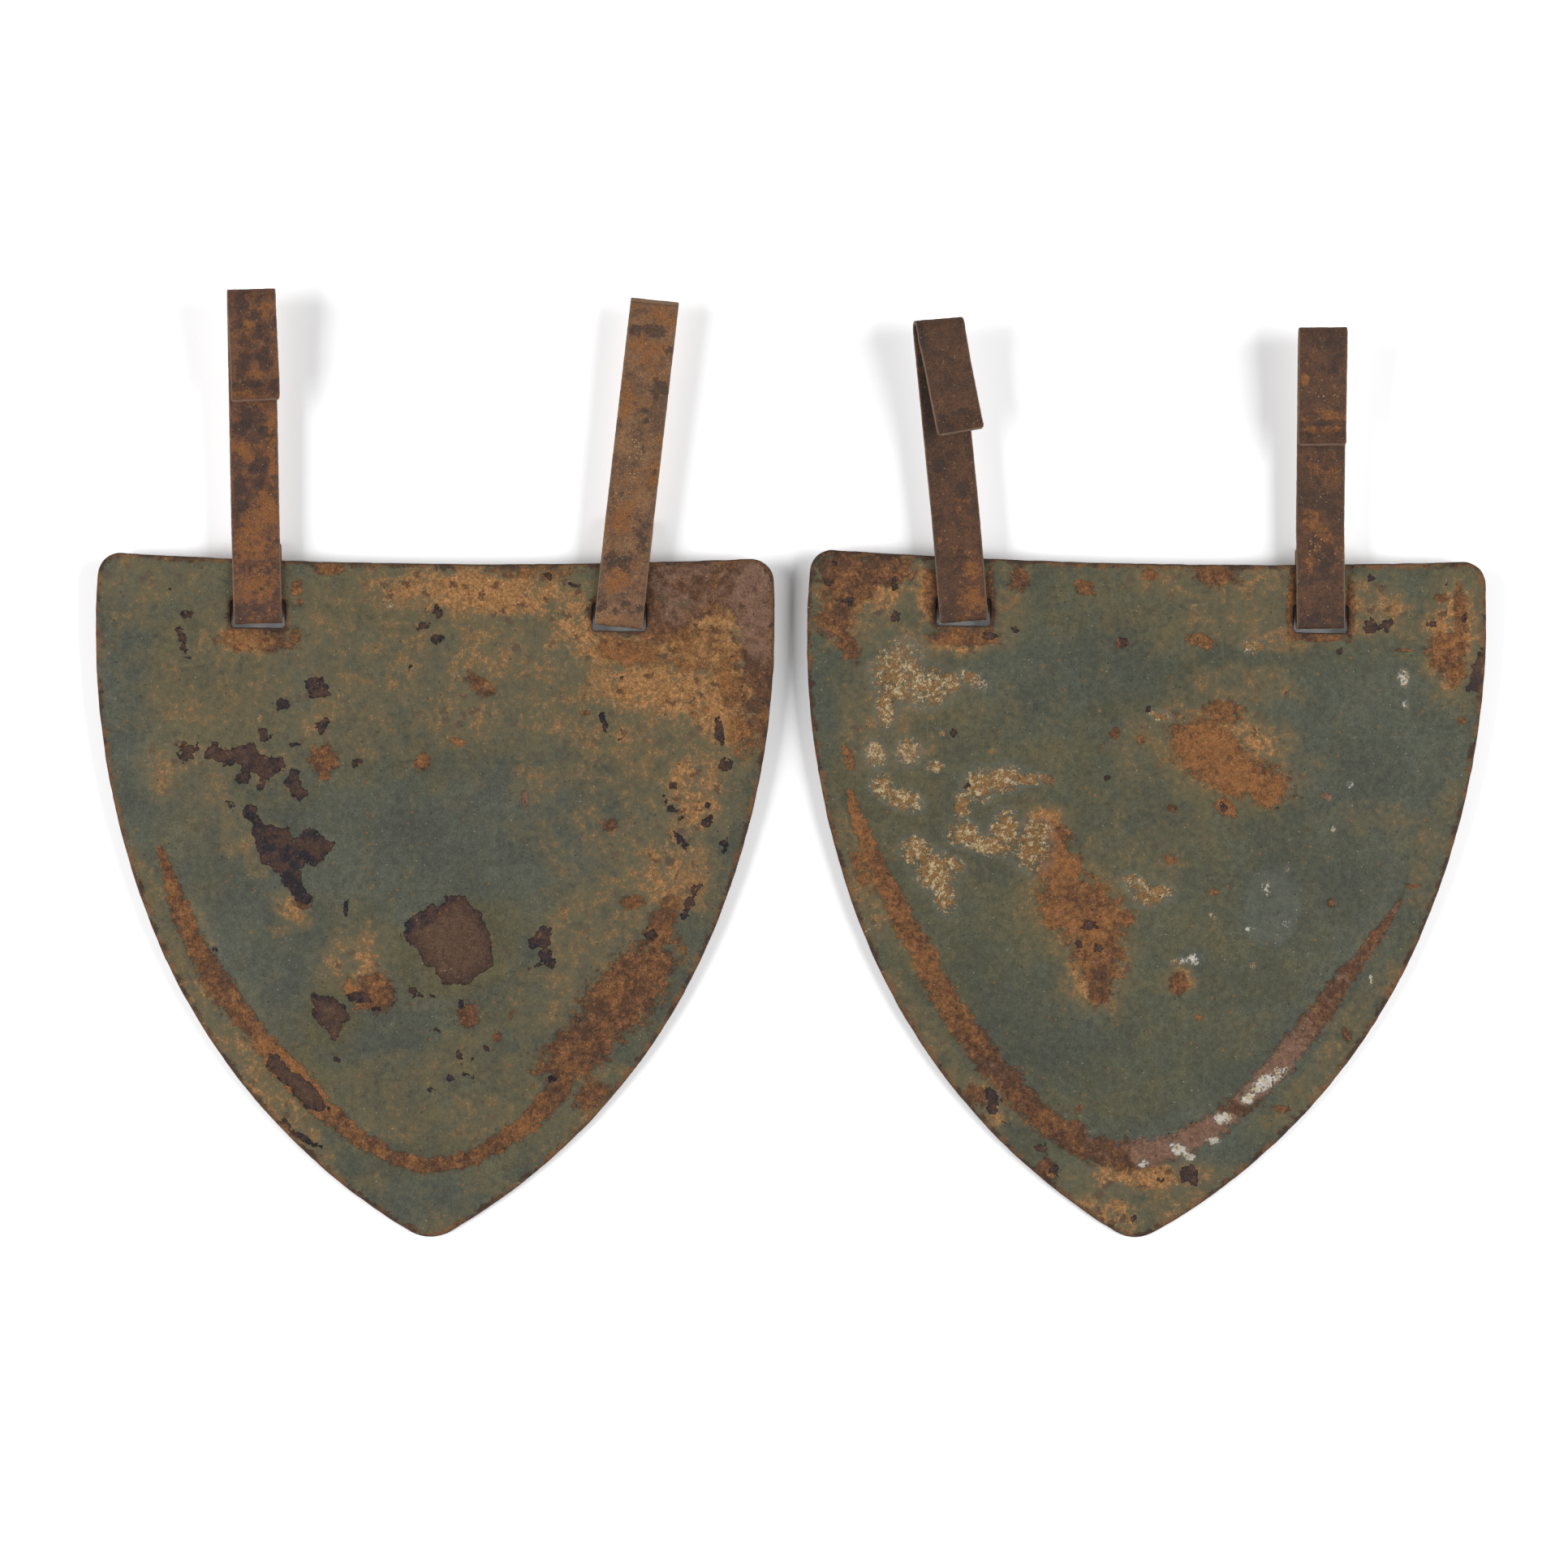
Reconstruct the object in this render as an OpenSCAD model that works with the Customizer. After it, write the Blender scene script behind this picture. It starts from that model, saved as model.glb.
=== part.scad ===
// A pair of sheet-steel cheek guards, lying face up side by side on a table.
// Each guard is a shield-shaped plate, hung from two steel strips folded through slots in its top.
// +X runs to the right, +Y up the plates and +Z off the table.
// The origin is on the table, under the middle of the pair.

/* [Plate outline] */
// Width of a plate at its widest
plate_w = 140; // [120:1:160]
// Radius of a side from the top corner down to its bend
upper_side_r = 166; // [140:1:220]
// Radius of a side from its bend down to the tip
lower_side_r = 128; // [115:1:138]
// How far round the upper side the lower one takes over, in degrees
side_bend = 22; // [14:1:30]
// Height of the top corners above the widest level
shoulder_h = 15.2; // [10:0.1:22]
// Rounding of the top corners
corner_r = 4.7; // [2:0.1:8]
// Rounding of the tip
tip_r = 8.2; // [4:0.1:14]
// Dip of the top edge in its middle
top_sag = 1.9; // [0.5:0.1:3]

/* [Plate sheet] */
// Thickness of the sheet
plate_t = 1; // [0.8:0.1:1.6]
// Width of the flat border round the pressed field
border_w = 8; // [5:0.1:12]
// Width of the crease between the border and the field
crease_w = 4; // [2:0.1:8]
// Height that the crease lifts the lower field
crease_rise = 1; // [0:0.1:2]
// Height of the field's dome above the crease
dome_rise = 2.2; // [0:0.1:4]
// Roundness of the field's lower end
field_end_r = 16; // [8:1:30]

/* [Slots] */
// Height of the land between a slot and the top edge
land_h = 8.4; // [6:0.1:12]
// Height of a slot
slot_h = 5.7; // [5:0.1:8]
// Rounding of a slot's corners
slot_corner_r = 0.8; // [0.3:0.1:1.2]
// Room between a strap's edge and each end of its slot
slot_end_room = 0.5; // [0.3:0.05:1]
// Room between a strap's fold and the foot of its slot
slot_foot_room = 0.8; // [0.6:0.05:1.2]

/* [Straps] */
// Width of the strip
strap_w = 10; // [8:0.1:11]
// Thickness of the strip
strap_t = 0.8; // [0.6:0.05:1]
// Room between the strip and each face of the plate
wrap_room = 0.25; // [0.1:0.05:0.5]
// Rounding of a free end's corners
strap_corner_r = 0.8; // [0.3:0.1:1.5]

/* [Hooks] */
// Gap inside a hook at its fold
hook_gap = 3.8; // [3:0.1:5]
// Gap inside a hook at its crease, where it is narrowest
hook_pinch = 2.2; // [1.5:0.1:2.8]
// Length of the lip below the crease
lip_len = 4.2; // [3:0.1:6]
// Angle at which the lip is kicked out, in degrees
lip_kick = 22; // [10:1:35]
// Gap inside the fold that is left where a hook has broken off
stub_gap = 1.8; // [1.2:0.1:3]

/* [Left guard] */
// Turn of the left plate on the table, in degrees
left_turn = -0.55; // [-3:0.05:3]
// Sideways place of the left outer slot on its plate
left_outer_x = -36.5; // [-45:0.1:-30]
// Turn of the left outer strap in its slot, in degrees
left_outer_turn = 2; // [-6:0.1:6]
// Length of the left outer strap from its fold to its top
left_outer_len = 68.8; // [60:0.1:80]
// Length of the left outer strap's tail
left_outer_tail = 17; // [14:0.1:26]
// Length of the left outer hook
left_outer_hook = 23.1; // [18:0.1:30]
// Twist of the left outer hook across its strap, in degrees
left_outer_twist = 1.5; // [-8:0.1:8]
// Sideways place of the left inner slot on its plate
left_inner_x = 37.9; // [30:0.1:45]
// Turn of the left inner strap in its slot, in degrees
left_inner_turn = -5.5; // [-6:0.1:6]
// Length of the left inner strap from its fold to its broken top
left_inner_len = 67.7; // [60:0.1:80]
// Length of the left inner strap's tail
left_inner_tail = 22.4; // [14:0.1:26]

/* [Right guard] */
// Turn of the right plate on the table, in degrees
right_turn = -1.1; // [-3:0.05:3]
// Sideways place of the right inner slot on its plate
right_inner_x = -37.8; // [-45:0.1:-30]
// Turn of the right inner strap in its slot, in degrees
right_inner_turn = 5.8; // [-6:0.1:6]
// Length of the right inner strap from its fold to its top
right_inner_len = 62.5; // [56:0.1:80]
// Length of the right inner strap's tail
right_inner_tail = 14.5; // [14:0.1:26]
// Length of the right inner hook
right_inner_hook = 23.7; // [18:0.1:30]
// Twist of the right inner hook across its strap, in degrees
right_inner_twist = 6.3; // [-8:0.1:8]
// Sideways place of the right outer slot on its plate
right_outer_x = 35.8; // [30:0.1:45]
// Turn of the right outer strap in its slot, in degrees
right_outer_turn = 1.7; // [-6:0.1:6]
// Length of the right outer strap from its fold to its top
right_outer_len = 62; // [56:0.1:80]
// Length of the right outer strap's tail
right_outer_tail = 17; // [14:0.1:26]
// Length of the right outer hook
right_outer_hook = 24.4; // [18:0.1:30]
// Twist of the right outer hook across its strap, in degrees
right_outer_twist = 0; // [-8:0.1:8]

/* [On the table] */
// Gap between the two plates
pair_gap = 6.5; // [2:0.1:20]
// Height of a plate's underside above the table at its slots
slot_lift = 3; // [2.2:0.1:5]

/* [Hidden] */
$fn = 64;

paint_grey = [0.36, 0.38, 0.32];
strap_brown = [0.38, 0.24, 0.16];

// Facets along each stretch of a plate's outline, from the tip up to the middle of the top edge
tip_facets = 3;
lower_facets = 10;
upper_facets = 6;
corner_facets = 4;
top_facets = 4;
// Facets across the pressed field, from its crease to its middle
field_facets = 5;
// Facets round each fold of a strip
fold_facets = 16;

// A plate's own frame has its origin on the centre line at the widest level, on the underside.
// Centres of the right side's two arcs, which meet smoothly at the bend
upper_c = [plate_w / 2 - upper_side_r, 0];
lower_c = upper_c + (upper_side_r - lower_side_r) * [cos(side_bend), -sin(side_bend)];
// The top edge is an arc too, with its centre above it
top_edge_r = ((plate_w / 2) ^ 2 + top_sag ^ 2) / (2 * top_sag);
top_c = [0, shoulder_h - top_sag + top_edge_r];
// Centre of the right top corner, which touches the side and the top edge
corner_c = crossing(upper_c, upper_side_r - corner_r, top_c, top_edge_r + corner_r);
tip_c = [0, lower_c.y - sqrt((lower_side_r - tip_r) ^ 2 - lower_c.x ^ 2)];
tip_depth = tip_r - tip_c.y;

// The field starts at the border and stands at its full height in the middle of the plate
field_reach = plate_w / 2 - border_w - crease_w;
// The top stays flat as far as the slots' feet, and the crease shows on the lower sides alone
flat_top_y = top_edge_y(0) - land_h - slot_h;
dome_fade = 35;
crease_top_y = -35;
crease_fade = 35;

slot_w = strap_w + 2 * slot_end_room;

// A strap's own frame has its origin in the middle of its slot, on the plate's underside.
wrap_inner_r = plate_t / 2 + wrap_room;
wrap_outer_r = wrap_inner_r + strap_t;
wrap_c = [wrap_outer_r + slot_foot_room - slot_h / 2, plate_t / 2];
leg_back_z = plate_t + wrap_room;
leg_front_z = leg_back_z + strap_t;
strap_foot_y = wrap_c.x - wrap_outer_r;
hook_inner_r = hook_gap / 2;
hook_outer_r = hook_inner_r + strap_t;
stub_inner_r = stub_gap / 2;
stub_outer_r = stub_inner_r + strap_t;

// Each plate is tipped so that its point touches the table
tip_angle = asin(slot_lift / (tip_depth + slot_mid_y(left_outer_x)));
plate_lift = tip_depth * sin(tip_angle);

pair_x = (plate_w + pair_gap) / 2;
// Middle of the pair, from the left outer hook's top down to the right plate's tip
outer_top = [left_outer_x, slot_mid_y(left_outer_x)]
  + turned([strap_w / 2, left_outer_len + strap_foot_y], left_outer_turn);
pair_mid_y = (turned(outer_top, left_turn).y - tip_depth) / 2;

// A point turned about the origin
function turned(p, a) = [p.x * cos(a) - p.y * sin(a), p.x * sin(a) + p.y * cos(a)];

// The lower right crossing of two circles, one round a and one round b
function crossing(a, ra, b, rb) =
  let (
    apart = norm(b - a),
    along = (apart ^ 2 + ra ^ 2 - rb ^ 2) / (2 * apart),
    dir = (b - a) / apart
  )
  a + along * dir + sqrt(ra ^ 2 - along ^ 2) * [dir.y, -dir.x];

function heading(from, to) = atan2(to.y - from.y, to.x - from.x);

// Unit vector at an angle
function toward(a) = [cos(a), sin(a)];

// Points round an arc, without its last one
function arc(c, r, from, to, steps) =
  [for (i = [0 : steps - 1]) c + r * toward(from + (to - from) * i / steps)];

function top_edge_y(x) = top_c.y - sqrt(top_edge_r ^ 2 - x ^ 2);

function slot_mid_y(x) = top_edge_y(x) - land_h - slot_h / 2;

// The outline runs anticlockwise from the foot of the tip
tip_side = heading(lower_c, tip_c);
corner_side = heading(upper_c, corner_c);
corner_top = heading(corner_c, top_c);
top_end = heading(top_c, corner_c);
right_half = concat(
  arc(tip_c, tip_r, -90, tip_side, tip_facets),
  arc(lower_c, lower_side_r, tip_side, -side_bend, lower_facets),
  arc(upper_c, upper_side_r, -side_bend, corner_side, upper_facets),
  arc(corner_c, corner_r, corner_side, corner_top, corner_facets),
  arc(top_c, top_edge_r, top_end, -90, top_facets)
);
left_half = [for (i = [len(right_half) - 1 : -1 : 1]) [-right_half[i].x, right_half[i].y]];
outline = concat(right_half, [[0, top_edge_y(0)]], left_half);

function smooth(t) = let (c = min(max(t, 0), 1)) c * c * (3 - 2 * c);

// Distance of a point inside the right side
function side_inset(x, y) =
  y > -tan(side_bend) * (x - upper_c.x)
    ? upper_side_r - norm([x, y] - upper_c)
    : lower_side_r - norm([x, y] - lower_c);

// Distance inside both sides, rounded where the two meet on the centre line
function inset(x, y) =
  let (
    right = side_inset(x, y),
    left = side_inset(-x, y),
    near = max(field_end_r - abs(right - left), 0)
  )
  min(right, left) - near ^ 2 / (4 * field_end_r);

// Height of the pressed field above the border
function relief(p) =
  let (
    in = inset(p.x, p.y) - border_w,
    crease = crease_rise * smooth(in / crease_w) * smooth((crease_top_y - p.y) / crease_fade),
    run = min(max(in / field_reach, 0), 1),
    dome = dome_rise * (1 - (1 - run) ^ 2) * smooth((flat_top_y - p.y) / dome_fade)
  )
  crease + dome;

// The sheet is built from rings that shrink from the outline to the field's middle
field_mid = [0, flat_top_y - dome_fade];
ring_insets = concat(
  [0, border_w / 2, border_w, border_w + crease_w / 2, border_w + crease_w],
  [for (i = [1 : field_facets]) border_w + crease_w + i * field_reach / (field_facets + 1)]
);
rings = [for (d = ring_insets) for (p = outline) field_mid + (p - field_mid) * (1 - 2 * d / plate_w)];

module plate_sheet() {
  n = len(outline);
  ring_count = len(ring_insets);
  flat = concat(rings, [field_mid]);
  face_size = len(flat);
  // The underside's points come first, then the same points on the face
  points = concat(
    [for (p = flat) [p.x, p.y, relief(p)]],
    [for (p = flat) [p.x, p.y, relief(p) + plate_t]]
  );
  // Triangles of the face, anticlockwise as seen from above
  face = concat(
    [for (k = [0 : ring_count - 2]) for (i = [0 : n - 1])
      [k * n + i, k * n + (i + 1) % n, (k + 1) * n + i]],
    [for (k = [0 : ring_count - 2]) for (i = [0 : n - 1])
      [k * n + (i + 1) % n, (k + 1) * n + (i + 1) % n, (k + 1) * n + i]],
    [for (i = [0 : n - 1]) [(ring_count - 1) * n + i, (ring_count - 1) * n + (i + 1) % n, face_size - 1]]
  );
  rim = concat(
    [for (i = [0 : n - 1]) [i, face_size + i, (i + 1) % n]],
    [for (i = [0 : n - 1]) [(i + 1) % n, face_size + i, face_size + (i + 1) % n]]
  );
  polyhedron(
    points,
    concat(face, [for (t = face) [face_size + t[0], face_size + t[2], face_size + t[1]]], rim),
    convexity = 4
  );
}

module slot_shape() {
  square([slot_w, slot_h - 2 * slot_corner_r], center = true);
  square([slot_w - 2 * slot_corner_r, slot_h], center = true);
  for (x = [-1, 1]) for (y = [-1, 1])
    translate([x * (slot_w / 2 - slot_corner_r), y * (slot_h / 2 - slot_corner_r)])
      circle(slot_corner_r);
}

// Sheet-steel shield with two slots under its top edge
module plate(slot_xs) {
  difference() {
    plate_sheet();
    for (x = slot_xs)
      translate([x, slot_mid_y(x), -plate_t])
        linear_extrude(3 * plate_t)
          slot_shape();
  }
}

// Side views of the strip are drawn with the run up the strap as x and the height as y.
// Each is one outline, up the strip's front face and back down its other face.
function fold(c, r, from, to) = concat(arc(c, r, from, to, fold_facets), [c + r * toward(to)]);

// The tail behind the plate is sprung down until its end touches the table
function tail_splay(tail, slot_x) =
  let (
    run = tail - wrap_outer_r,
    a = wrap_outer_r * tan(tip_angle) + run,
    b = wrap_outer_r - run * tan(tip_angle),
    c = plate_lift / cos(tip_angle) + (slot_mid_y(slot_x) + wrap_c.x) * tan(tip_angle) + wrap_c.y
  )
  asin(c / norm([a, b])) - atan2(b, a);

// One face of the strip, from the tail's end round the land
function foot_face(r, tail, slot_x) =
  let (splay = tail_splay(tail, slot_x))
  concat(
    [wrap_c + r * toward(270 - splay) + (tail - wrap_outer_r) * toward(-splay)],
    fold(wrap_c, r, 270 - splay, 90)
  );

function foot_end(tail, slot_x) = foot_face(wrap_inner_r, tail, slot_x)[0].x;

// The hook closes towards the strap as far as its crease, and then its lip kicks out
function hook_run(hook) = hook - hook_outer_r - lip_len * cos(lip_kick);

function hook_closing(hook) =
  acos((hook_pinch - hook_inner_r) / norm([hook_inner_r, hook_run(hook)]))
    - atan2(hook_run(hook), hook_inner_r);

// One face of the strip, round the hook's fold and down to the lip's end
function hook_face(r, top_y, hook) =
  let (
    fold_c = [top_y - hook_outer_r, leg_front_z + hook_inner_r],
    arm_out = 90 + hook_closing(hook),
    lip_out = 90 - lip_kick,
    crease = fold_c + hook_inner_r * toward(arm_out) + hook_run(hook) * toward(arm_out + 90),
    depth = r - hook_inner_r,
    mitre = depth / cos((arm_out - lip_out) / 2) * toward((arm_out + lip_out) / 2)
  )
  concat(
    fold(fold_c, r, -90, arm_out),
    [crease + mitre, crease + depth * toward(lip_out) + lip_len * toward(lip_out + 90)]
  );

// A hook that broke off has left the first quarter of its fold
function stub_face(r, top_y) =
  fold([top_y - stub_outer_r, leg_front_z + stub_inner_r], r, -90, 0);

module both_faces(front, back) {
  polygon(concat(front, [for (i = [len(back) - 1 : -1 : 0]) back[i]]));
}

module across(width) {
  rotate([90, 0, 90])
    linear_extrude(width, center = true)
      children();
}

// Rounds the two corners of a strip's end, which is centred at x and y and faces up or down the strap
module round_corners(x, y, facing, low_z, high_z) {
  for (side = [-1, 1])
    translate([x + side * strap_w / 2, y, low_z])
      linear_extrude(high_z - low_z)
        difference() {
          square(2 * strap_corner_r, center = true);
          translate([-side * strap_corner_r, -facing * strap_corner_r])
            circle(strap_corner_r);
        }
}

module rounded_tail(tail, slot_x) {
  difference() {
    children();
    round_corners(0, foot_end(tail, slot_x), 1, -2 * slot_lift, 0);
  }
}

// The plan of a strap, whose hook is cut askew below its fold so that it drifts across the strap
module plan_cut(top_y, drift_from, drift_to, drift) {
  half_w = strap_w / 2;
  split_z = leg_front_z + hook_pinch / 2;
  past = strap_w;
  below = drift_to - past;
  slip = drift * (drift_from - below) / (drift_from - drift_to);
  translate([0, 0, -3 * slot_lift])
    linear_extrude(3 * slot_lift + split_z)
      translate([-half_w, -top_y])
        square([strap_w, 2 * top_y + past]);
  translate([0, 0, split_z])
    linear_extrude(hook_gap + 2 * strap_t + lip_len)
      polygon([
        [half_w, top_y + past], [-half_w, top_y + past], [-half_w, drift_from],
        [slip - half_w, below], [slip + half_w, below], [half_w, drift_from]
      ]);
}

module hooked_strap(length, tail, slot_x, hook, twist) {
  top_y = strap_foot_y + length;
  drift_from = top_y - hook_outer_r - strap_t;
  drift_to = top_y - hook;
  drift = (drift_from - drift_to) * tan(twist);
  rounded_tail(tail, slot_x)
    difference() {
      intersection() {
        across(2 * strap_w)
          both_faces(
            concat(foot_face(wrap_outer_r, tail, slot_x), hook_face(hook_inner_r, top_y, hook)),
            concat(foot_face(wrap_inner_r, tail, slot_x), hook_face(hook_outer_r, top_y, hook))
          );
        plan_cut(top_y, drift_from, drift_to, drift);
      }
      round_corners(drift, drift_to, -1, leg_front_z + hook_pinch / 2, leg_front_z + hook_gap + lip_len);
    }
}

module broken_strap(length, tail, slot_x) {
  top_y = strap_foot_y + length;
  rounded_tail(tail, slot_x)
    across(strap_w)
      both_faces(
        concat(foot_face(wrap_outer_r, tail, slot_x), stub_face(stub_inner_r, top_y)),
        concat(foot_face(wrap_inner_r, tail, slot_x), stub_face(stub_outer_r, top_y))
      );
}

// Moves a strap from its own frame to its slot in the plate's frame
module in_slot(slot_x, turn) {
  translate([slot_x, slot_mid_y(slot_x), 0])
    rotate(turn)
      children();
}

// Moves a guard from its plate's frame to its place on the table
module on_table(side, turn) {
  translate([side * pair_x, -pair_mid_y, plate_lift])
    rotate([0, 0, turn])
      rotate([tip_angle, 0, 0])
        children();
}

module left_plate() {
  color(paint_grey)
    on_table(-1, left_turn)
      plate([left_outer_x, left_inner_x]);
}

module right_plate() {
  color(paint_grey)
    on_table(1, right_turn)
      plate([right_inner_x, right_outer_x]);
}

module left_outer_strap() {
  color(strap_brown)
    on_table(-1, left_turn)
      in_slot(left_outer_x, left_outer_turn)
        hooked_strap(left_outer_len, left_outer_tail, left_outer_x, left_outer_hook, left_outer_twist);
}

module left_inner_strap() {
  color(strap_brown)
    on_table(-1, left_turn)
      in_slot(left_inner_x, left_inner_turn)
        broken_strap(left_inner_len, left_inner_tail, left_inner_x);
}

module right_inner_strap() {
  color(strap_brown)
    on_table(1, right_turn)
      in_slot(right_inner_x, right_inner_turn)
        hooked_strap(right_inner_len, right_inner_tail, right_inner_x, right_inner_hook, right_inner_twist);
}

module right_outer_strap() {
  color(strap_brown)
    on_table(1, right_turn)
      in_slot(right_outer_x, right_outer_turn)
        hooked_strap(right_outer_len, right_outer_tail, right_outer_x, right_outer_hook, right_outer_twist);
}

left_plate();
right_plate();
left_outer_strap();
left_inner_strap();
right_inner_strap();
right_outer_strap();
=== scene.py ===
from math import acos, asin, atan2, ceil, cos, hypot, pi, radians, sin, sqrt, tan

import bpy
import numpy as np
from mathutils import Matrix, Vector
from mathutils.geometry import delaunay_2d_cdt


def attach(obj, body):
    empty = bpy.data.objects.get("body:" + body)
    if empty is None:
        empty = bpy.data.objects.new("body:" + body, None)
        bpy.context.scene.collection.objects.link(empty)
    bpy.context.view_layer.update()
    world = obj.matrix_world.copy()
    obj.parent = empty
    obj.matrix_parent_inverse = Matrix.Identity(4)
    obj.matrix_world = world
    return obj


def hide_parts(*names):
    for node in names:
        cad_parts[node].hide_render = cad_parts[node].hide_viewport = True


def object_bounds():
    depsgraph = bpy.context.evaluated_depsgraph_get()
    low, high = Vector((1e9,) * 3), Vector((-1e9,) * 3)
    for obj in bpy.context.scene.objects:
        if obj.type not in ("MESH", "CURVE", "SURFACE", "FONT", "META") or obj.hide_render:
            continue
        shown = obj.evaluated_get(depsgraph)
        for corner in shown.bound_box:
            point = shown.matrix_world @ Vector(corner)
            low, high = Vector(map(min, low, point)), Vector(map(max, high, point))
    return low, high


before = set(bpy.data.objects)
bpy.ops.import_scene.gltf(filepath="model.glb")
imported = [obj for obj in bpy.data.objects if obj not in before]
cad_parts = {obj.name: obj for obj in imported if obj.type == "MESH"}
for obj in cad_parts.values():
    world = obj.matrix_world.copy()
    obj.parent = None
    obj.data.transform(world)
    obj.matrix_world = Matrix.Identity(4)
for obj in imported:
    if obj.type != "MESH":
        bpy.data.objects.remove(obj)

cad_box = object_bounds()
MM = 0.001


# The camera looks straight down at the pair through a long lens, from about two metres up.
# The photograph's scale follows from the plates, which are taken as 140 mm wide.
photo_side_px = 1932
mm_per_px = 0.16746
pair_middle_px = (974.5, 941.0)
lens_mm = 200.0
sensor_mm = 36.0

camera_data = bpy.data.cameras.new("camera")
camera_data.lens = lens_mm
camera_data.sensor_width = sensor_mm
camera = bpy.data.objects.new("camera", camera_data)
bpy.context.scene.collection.objects.link(camera)
camera.location = (
    (photo_side_px / 2 - pair_middle_px[0]) * mm_per_px * MM,
    (pair_middle_px[1] - photo_side_px / 2) * mm_per_px * MM,
    photo_side_px * mm_per_px * MM * lens_mm / sensor_mm,
)
bpy.context.scene.camera = camera
bpy.context.scene.view_settings.view_transform = "Standard"


# The table is a wide sheet of white paper with a softbox on each side, so its shadows are soft.
# The camera sees it brighter than it is, as in a photograph exposed for dark pieces, and plain
# white far out. The light that it throws back on the pieces is its own.
class Tree:
    """Adds nodes to a shader's or a modifier's tree, and links sockets or sets their values."""

    def __init__(self, tree):
        self.tree = tree

    def add(self, kind, inputs=None, **settings):
        node = self.tree.nodes.new(kind)
        for name, value in settings.items():
            setattr(node, name, value)
        for name, value in (inputs or {}).items():
            self.put(value, node.inputs[name])
        return node

    def put(self, value, socket):
        if isinstance(value, bpy.types.NodeSocket):
            self.tree.links.new(value, socket)
        else:
            socket.default_value = value

    def math(self, operation, a, b=0.0, c=0.0):
        return self.add("ShaderNodeMath", {0: a, 1: b, 2: c}, operation=operation).outputs[0]

    def times(self, a, b):
        return self.math("MULTIPLY", a, b)

    def total(self, *values):
        result = values[0]
        for value in values[1:]:
            result = self.math("ADD", result, value)
        return result

    def vector(self, operation, a, b):
        return self.add("ShaderNodeVectorMath", {0: a, 1: b}, operation=operation).outputs[0]

    def band(self, value, low, high, to_low=0.0, to_high=1.0):
        """Eases from to_low to to_high as value goes from low to high."""
        node = self.add("ShaderNodeMapRange", interpolation_type="SMOOTHSTEP")
        for socket, v in zip(node.inputs, (value, low, high, to_low, to_high)):
            self.put(v, socket)
        return node.outputs[0]


def emptied(material_or_world):
    material_or_world.use_nodes = True
    material_or_world.node_tree.nodes.clear()
    return Tree(material_or_world.node_tree)


def seen_directly(tree):
    """1 for what the camera, a reflection or a clear piece sees, and 0 for the light itself."""
    path = tree.add("ShaderNodeLightPath").outputs
    seen = tree.math("MAXIMUM", path["Is Camera Ray"], path["Is Glossy Ray"])
    return tree.math("MAXIMUM", seen, path["Is Transmission Ray"])


table_half_m = 2.5
table_white = (0.80, 0.80, 0.80, 1)
table_seen = (1.60, 1.60, 1.61, 1)
plain_white = (1.0, 1.0, 1.0, 1)
white_from_m, white_to_m = 0.5, 0.9

table_mesh = bpy.data.meshes.new("table")
table_z = cad_box[0][2]
corners = [(-1, -1), (1, -1), (1, 1), (-1, 1)]
table_points = [(x * table_half_m, y * table_half_m, table_z) for x, y in corners]
table_mesh.from_pydata(table_points, [], [(0, 1, 2, 3)])
table = bpy.data.objects.new("table", table_mesh)
bpy.context.scene.collection.objects.link(table)
table_paper = bpy.data.materials.new("table_paper")
tree = emptied(table_paper)
plain = tree.add("ShaderNodeBsdfDiffuse", {"Color": table_white})
seen = tree.add("ShaderNodeBsdfDiffuse", {"Color": table_seen})
at = tree.add("ShaderNodeTexCoord").outputs["Object"]
from_middle = tree.add("ShaderNodeVectorMath", {0: at}, operation="LENGTH").outputs["Value"]
far = tree.band(from_middle, white_from_m, white_to_m)
blank = tree.add("ShaderNodeEmission", {"Color": plain_white, "Strength": 1.0})
seen = tree.add("ShaderNodeMixShader", {0: far, 1: seen.outputs[0], 2: blank.outputs[0]})
both = tree.add("ShaderNodeMixShader", {0: seen_directly(tree), 1: plain.outputs[0], 2: seen.outputs[0]})
tree.add("ShaderNodeOutputMaterial", {"Surface": both.outputs[0]})
table_mesh.materials.append(table_paper)

room_light = 0.12
world = bpy.data.worlds.new("room")
bpy.context.scene.world = world
tree = emptied(world)
room = tree.add("ShaderNodeBackground", {"Strength": room_light})
white = tree.add("ShaderNodeBackground", {"Color": plain_white, "Strength": 1.0})
both = tree.add("ShaderNodeMixShader", {0: seen_directly(tree), 1: room.outputs[0], 2: white.outputs[0]})
tree.add("ShaderNodeOutputWorld", {"Surface": both.outputs[0]})

# Each softbox has its place, its size and its power in watts, and faces the middle of the table
softboxes = {
    "left": ((-0.96, -0.05, 0.52), 0.8, 10.9),
    "right": ((0.92, -0.03, 0.54), 0.8, 10.1),
}
for name, (place, side, power) in softboxes.items():
    lamp_data = bpy.data.lights.new(name, "AREA")
    lamp_data.shape = "SQUARE"
    lamp_data.size = side
    lamp_data.energy = power
    lamp = bpy.data.objects.new(name, lamp_data)
    bpy.context.scene.collection.objects.link(lamp)
    lamp.location = place
    x, y, z = place
    lamp.rotation_euler = (0, acos(z / sqrt(x * x + y * y + z * z)), atan2(y, x))


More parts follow.
